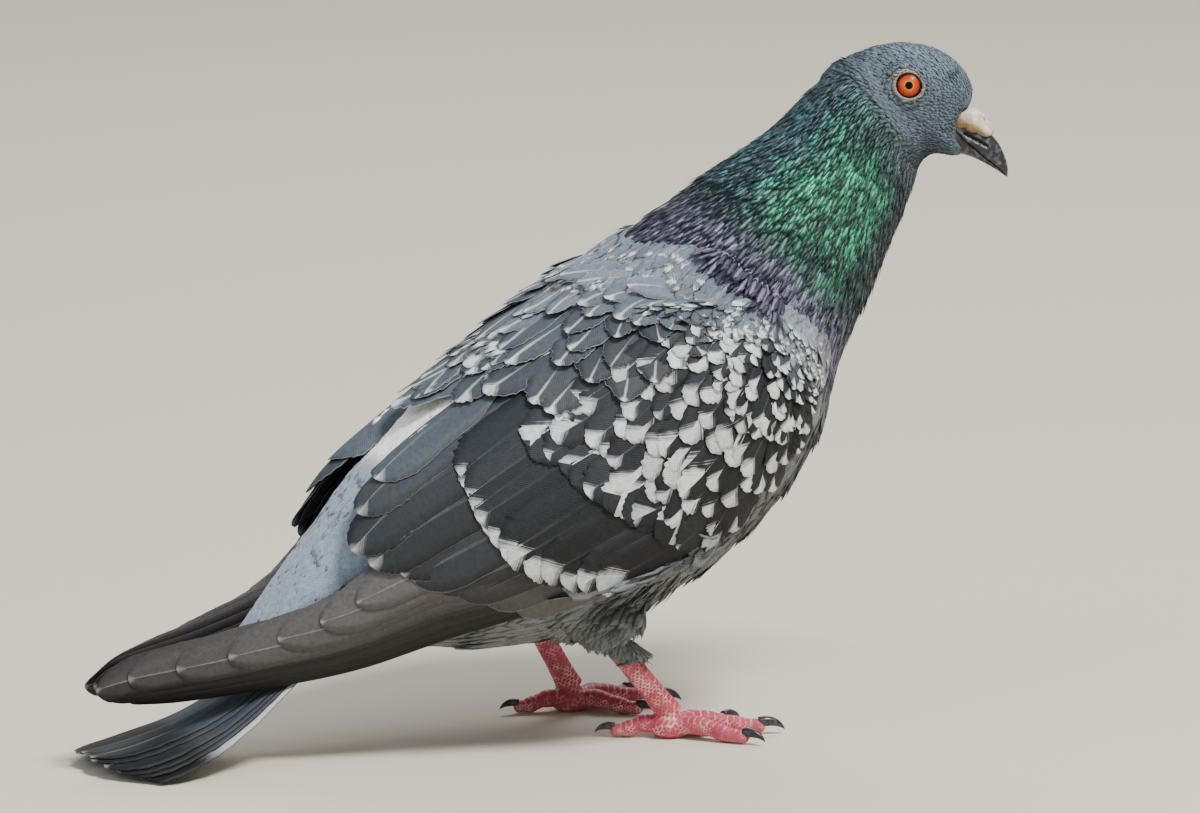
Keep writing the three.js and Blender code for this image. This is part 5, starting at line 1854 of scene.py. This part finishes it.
def limb_axes(centres):
    """Along a limb, to its right, and upwards or ahead."""
    run = unit(np.gradient(centres, axis=0))
    across = unit(np.cross(run, [0, 0, 1.0]))
    return run, across, np.cross(across, run)


def limb_rings(centres, radii, sides=32):
    """Round rings across a limb."""
    _, across, up = limb_axes(centres)
    around = np.linspace(0, 2 * math.pi, sides, endpoint=False)[None, :, None]
    spread = across[:, None] * np.cos(around) + up[:, None] * np.sin(around)
    return centres[:, None] + spread * radii[:, None, None]


def toe_run(leg, heading):
    """The level direction in which a toe points."""
    angle = math.radians(leg["mirror"] * (leg["turn"] + heading))
    return np.array([math.cos(angle), math.sin(angle), 0])


def foot_limbs(leg):
    """Centre lines and radii of the tarsus and the four toes."""
    t = np.linspace(0, 1, LIMB_STEPS)
    ankle, foot = [
        np.array([leg[end][0] + STATIONS_AHEAD, leg["y"], leg[end][1]]) for end in ("ankle", "foot")
    ]
    shank = mix(ankle, foot, t[:, None])
    limbs = [(shank, TARSUS_RADIUS + TARSUS_FLARE * np.abs(2 * t - 1) ** 3)]
    for heading, length, radius, _ in TOES.values():
        arch = TOE_ARCH * np.sin(math.pi * np.minimum(1, t * 1.3)) * (1 - t)
        reach = mix(TOE_START, length, t)[:, None]
        centre = foot * [1, 1, 0] + toe_run(leg, heading) * reach
        centre[:, 2] += radius * mix(0.95, 0.8, t) + arch
        thick = radius * (mix(1.08, 0.72, t) + 0.07 * np.cos(6 * math.pi * t))
        thick *= np.sqrt(np.clip(1 - ((t - 0.88) / 0.125).clip(0, 1) ** 2, 0.02, 1))
        limbs.append((centre, thick))
    return limbs, foot


def limb_places(points, limbs):
    """For each point, the distance along and around its nearest limb."""
    best = np.full(len(points), 1e9)
    run_on = np.zeros(len(points))
    turn = np.zeros(len(points))
    for centres, radii in limbs:
        run, across, up = limb_axes(centres)
        gap = np.linalg.norm(points[:, None] - centres[None], axis=-1)
        nearest = gap.argmin(1)
        away = gap[np.arange(len(points)), nearest] - radii[nearest]
        offset = points - centres[nearest]
        length = np.concatenate([[0], np.cumsum(np.linalg.norm(np.diff(centres, axis=0), axis=1))])
        here = length[nearest] + (offset * run[nearest]).sum(1)
        angle = np.arctan2((offset * up[nearest]).sum(1), (offset * across[nearest]).sum(1))
        better = away < best
        best = np.where(better, away, best)
        run_on = np.where(better, here, run_on)
        turn = np.where(better, angle, turn)
    return run_on, turn


print("a foot has one tarsus and", len(TOES), "toes")

# %% Scales
PLATE_LENGTH = 1.6
PLATE_EDGE = 5
SCALE_SIZE = 0.85
SCALES_AROUND = 14
# Grain of 1.3 mm and dry flakes of 3 mm.
GRAIN_SCALE = 800.0
FLAKE_SCALE = 330.0


def scale_pattern(run_on, turn):
    """0 on the border between scales and 1 in the middle of one."""
    row = run_on / PLATE_LENGTH
    plate = 1 - np.abs(2 * (row - np.floor(row)) - 1) ** PLATE_EDGE
    across = turn / (2 * math.pi) * SCALES_AROUND * SCALE_SIZE
    steps = np.array([SCALE_SIZE, SCALE_SIZE * math.sqrt(3)])
    grid_place = np.stack([across, run_on], -1)
    gaps = []
    for shift in (0, 0.5):
        cell = grid_place / steps - shift
        gaps.append(np.linalg.norm((cell - np.round(cell)) * steps, axis=-1))
    small = 1 - ramp(np.minimum(*gaps), 0.25 * SCALE_SIZE, 0.56 * SCALE_SIZE)
    return mix(small, plate, ramp(np.sin(turn), 0.42, 0.5))


def scaly_material():
    """Thin horny scales over flesh: a soft glow of pink-red, with dry pale borders."""
    material, tree, shader = new_material("Pink-red scaly skin of the feet")
    place = add_node(tree, "ShaderNodeTexCoord").outputs["Object"]
    scale = add_node(tree, "ShaderNodeAttribute", attribute_name="scale").outputs["Fac"]
    tone = add_node(tree, "ShaderNodeAttribute", attribute_name="tone").outputs["Fac"]
    grain = add_node(tree, "ShaderNodeTexNoise", {"Vector": place, "Scale": GRAIN_SCALE, "Detail": 3.0})
    flesh = add_node(
        tree, "ShaderNodeMix", {"Factor": tone, 6: "#a92844", 7: "#cf6377"},
        data_type="RGBA",
    ).outputs[2]
    dry = add_node(tree, "ShaderNodeMath", {0: scale, 1: grain}, operation="SUBTRACT")
    dry = add_node(tree, "ShaderNodeMapRange", {0: dry, 1: -0.4, 2: 0.35, 3: 0.8, 4: 0.0})
    flakes = add_node(tree, "ShaderNodeTexNoise", {"Vector": place, "Scale": FLAKE_SCALE, "Detail": 4.0})
    flakes = add_node(tree, "ShaderNodeMapRange", {0: flakes, 1: 0.42, 2: 0.6, 3: 0.15, 4: 1.25})
    dry = add_node(tree, "ShaderNodeMath", {0: dry, 1: flakes}, operation="MULTIPLY")
    colour = add_node(
        tree, "ShaderNodeMix", {"Factor": dry, 6: flesh, 7: "#efd0cc"}, data_type="RGBA"
    ).outputs[2]
    bump = add_node(tree, "ShaderNodeBump", {"Strength": 0.5, "Distance": 0.1 * MM, "Height": grain})
    set_inputs(tree, shader, {
        "Base Color": colour, "Normal": bump, "Roughness": 0.55,
        "Subsurface Weight": 0.1, "Subsurface Scale": 1.5 * MM,
    })
    return material


print("scales are", SCALE_SIZE, "mm wide and plates", PLATE_LENGTH, "mm long")

# %% Claws
CLAW_LENGTH = 6
CLAW_RADIUS = 1.35
CLAW_BEND = math.radians(66)
CLAW_FLATNESS = 0.75
CLAW_RISE = 0.9
CLAW_CLEARANCE = 0.05


def claw_rings(leg, foot, toe):
    """A horn that starts inside the toe's end and curves down to the floor."""
    heading, length, radius, size = TOES[toe]
    run = toe_run(leg, heading)
    t = np.linspace(-0.3, 1, 26)
    curve = size * CLAW_LENGTH / CLAW_BEND
    start = np.array([foot[0], foot[1], radius * 0.95 + CLAW_RISE]) + run * (length + 0.3)
    centres = start + run * (curve * np.sin(CLAW_BEND * t))[:, None]
    centres[:, 2] -= CLAW_FLATNESS * curve * (1 - np.cos(CLAW_BEND * t))
    thick = size * CLAW_RADIUS * np.clip(1 - np.clip(t, 0, 1) ** 1.4, 0.06, 1)
    rings = limb_rings(centres, thick, 20)
    rings[..., 2] = np.maximum(rings[..., 2], CLAW_CLEARANCE)
    return rings


print("claws are up to", CLAW_LENGTH, "mm long along their curve")

# %% Scaled feet
FOOT_VOXEL = 0.34
FOOT_SMOOTHING = 5
PAD_HEIGHT = 3.1
PAD_RADII = (5.5, 5.0, 3.5)
SCALE_RISE = 0.2
SCALE_SINK = 0.12
SCALY = scaly_material()
CLAW_HORN = horn_material("Smooth dark horn of the claws", "#26272b", "#77757a", 0.35, 0.3)
for side_name, leg in LEGS.items():
    limbs, foot = foot_limbs(leg)
    parts = [ring_object("limb", limb_rings(centres, radii)) for centres, radii in limbs]
    parts.append(ring_object("pad", ball((foot[0], foot[1], PAD_HEIGHT), PAD_RADII)))
    made = one_lump(f"foot_{side_name}", parts, FOOT_VOXEL, FOOT_SMOOTHING)
    surface = points_of(made.data)
    scale = scale_pattern(*limb_places(surface, limbs))
    surface = surface + normals_of(made.data) * (SCALE_RISE * scale - SCALE_SINK)[:, None]
    surface[:, 2] = np.maximum(surface[:, 2], 0)
    move_points(made.data, surface)
    sole = 1 - ramp(surface[:, 2], 0.5, 3)
    tone = np.clip(0.25 + 0.5 * sole + 0.25 * blotches(surface, 4, 5), 0, 1)
    store(made.data, "scale", "FLOAT", scale)
    store(made.data, "tone", "FLOAT", tone)
    made.data.materials.append(SCALY)
    keep(made, "leg", f"tarsus_{side_name}", *[f"toe_{side_name}_{toe}" for toe in TOES])
    for toe in TOES:
        claw = ring_object(f"horn_{side_name}_{toe}", claw_rings(leg, foot, toe))
        claw.data.materials.append(CLAW_HORN)
        keep(claw, "claw", f"claw_{side_name}_{toe}")
    print(f"foot_{side_name}:", len(made.data.polygons), "faces")
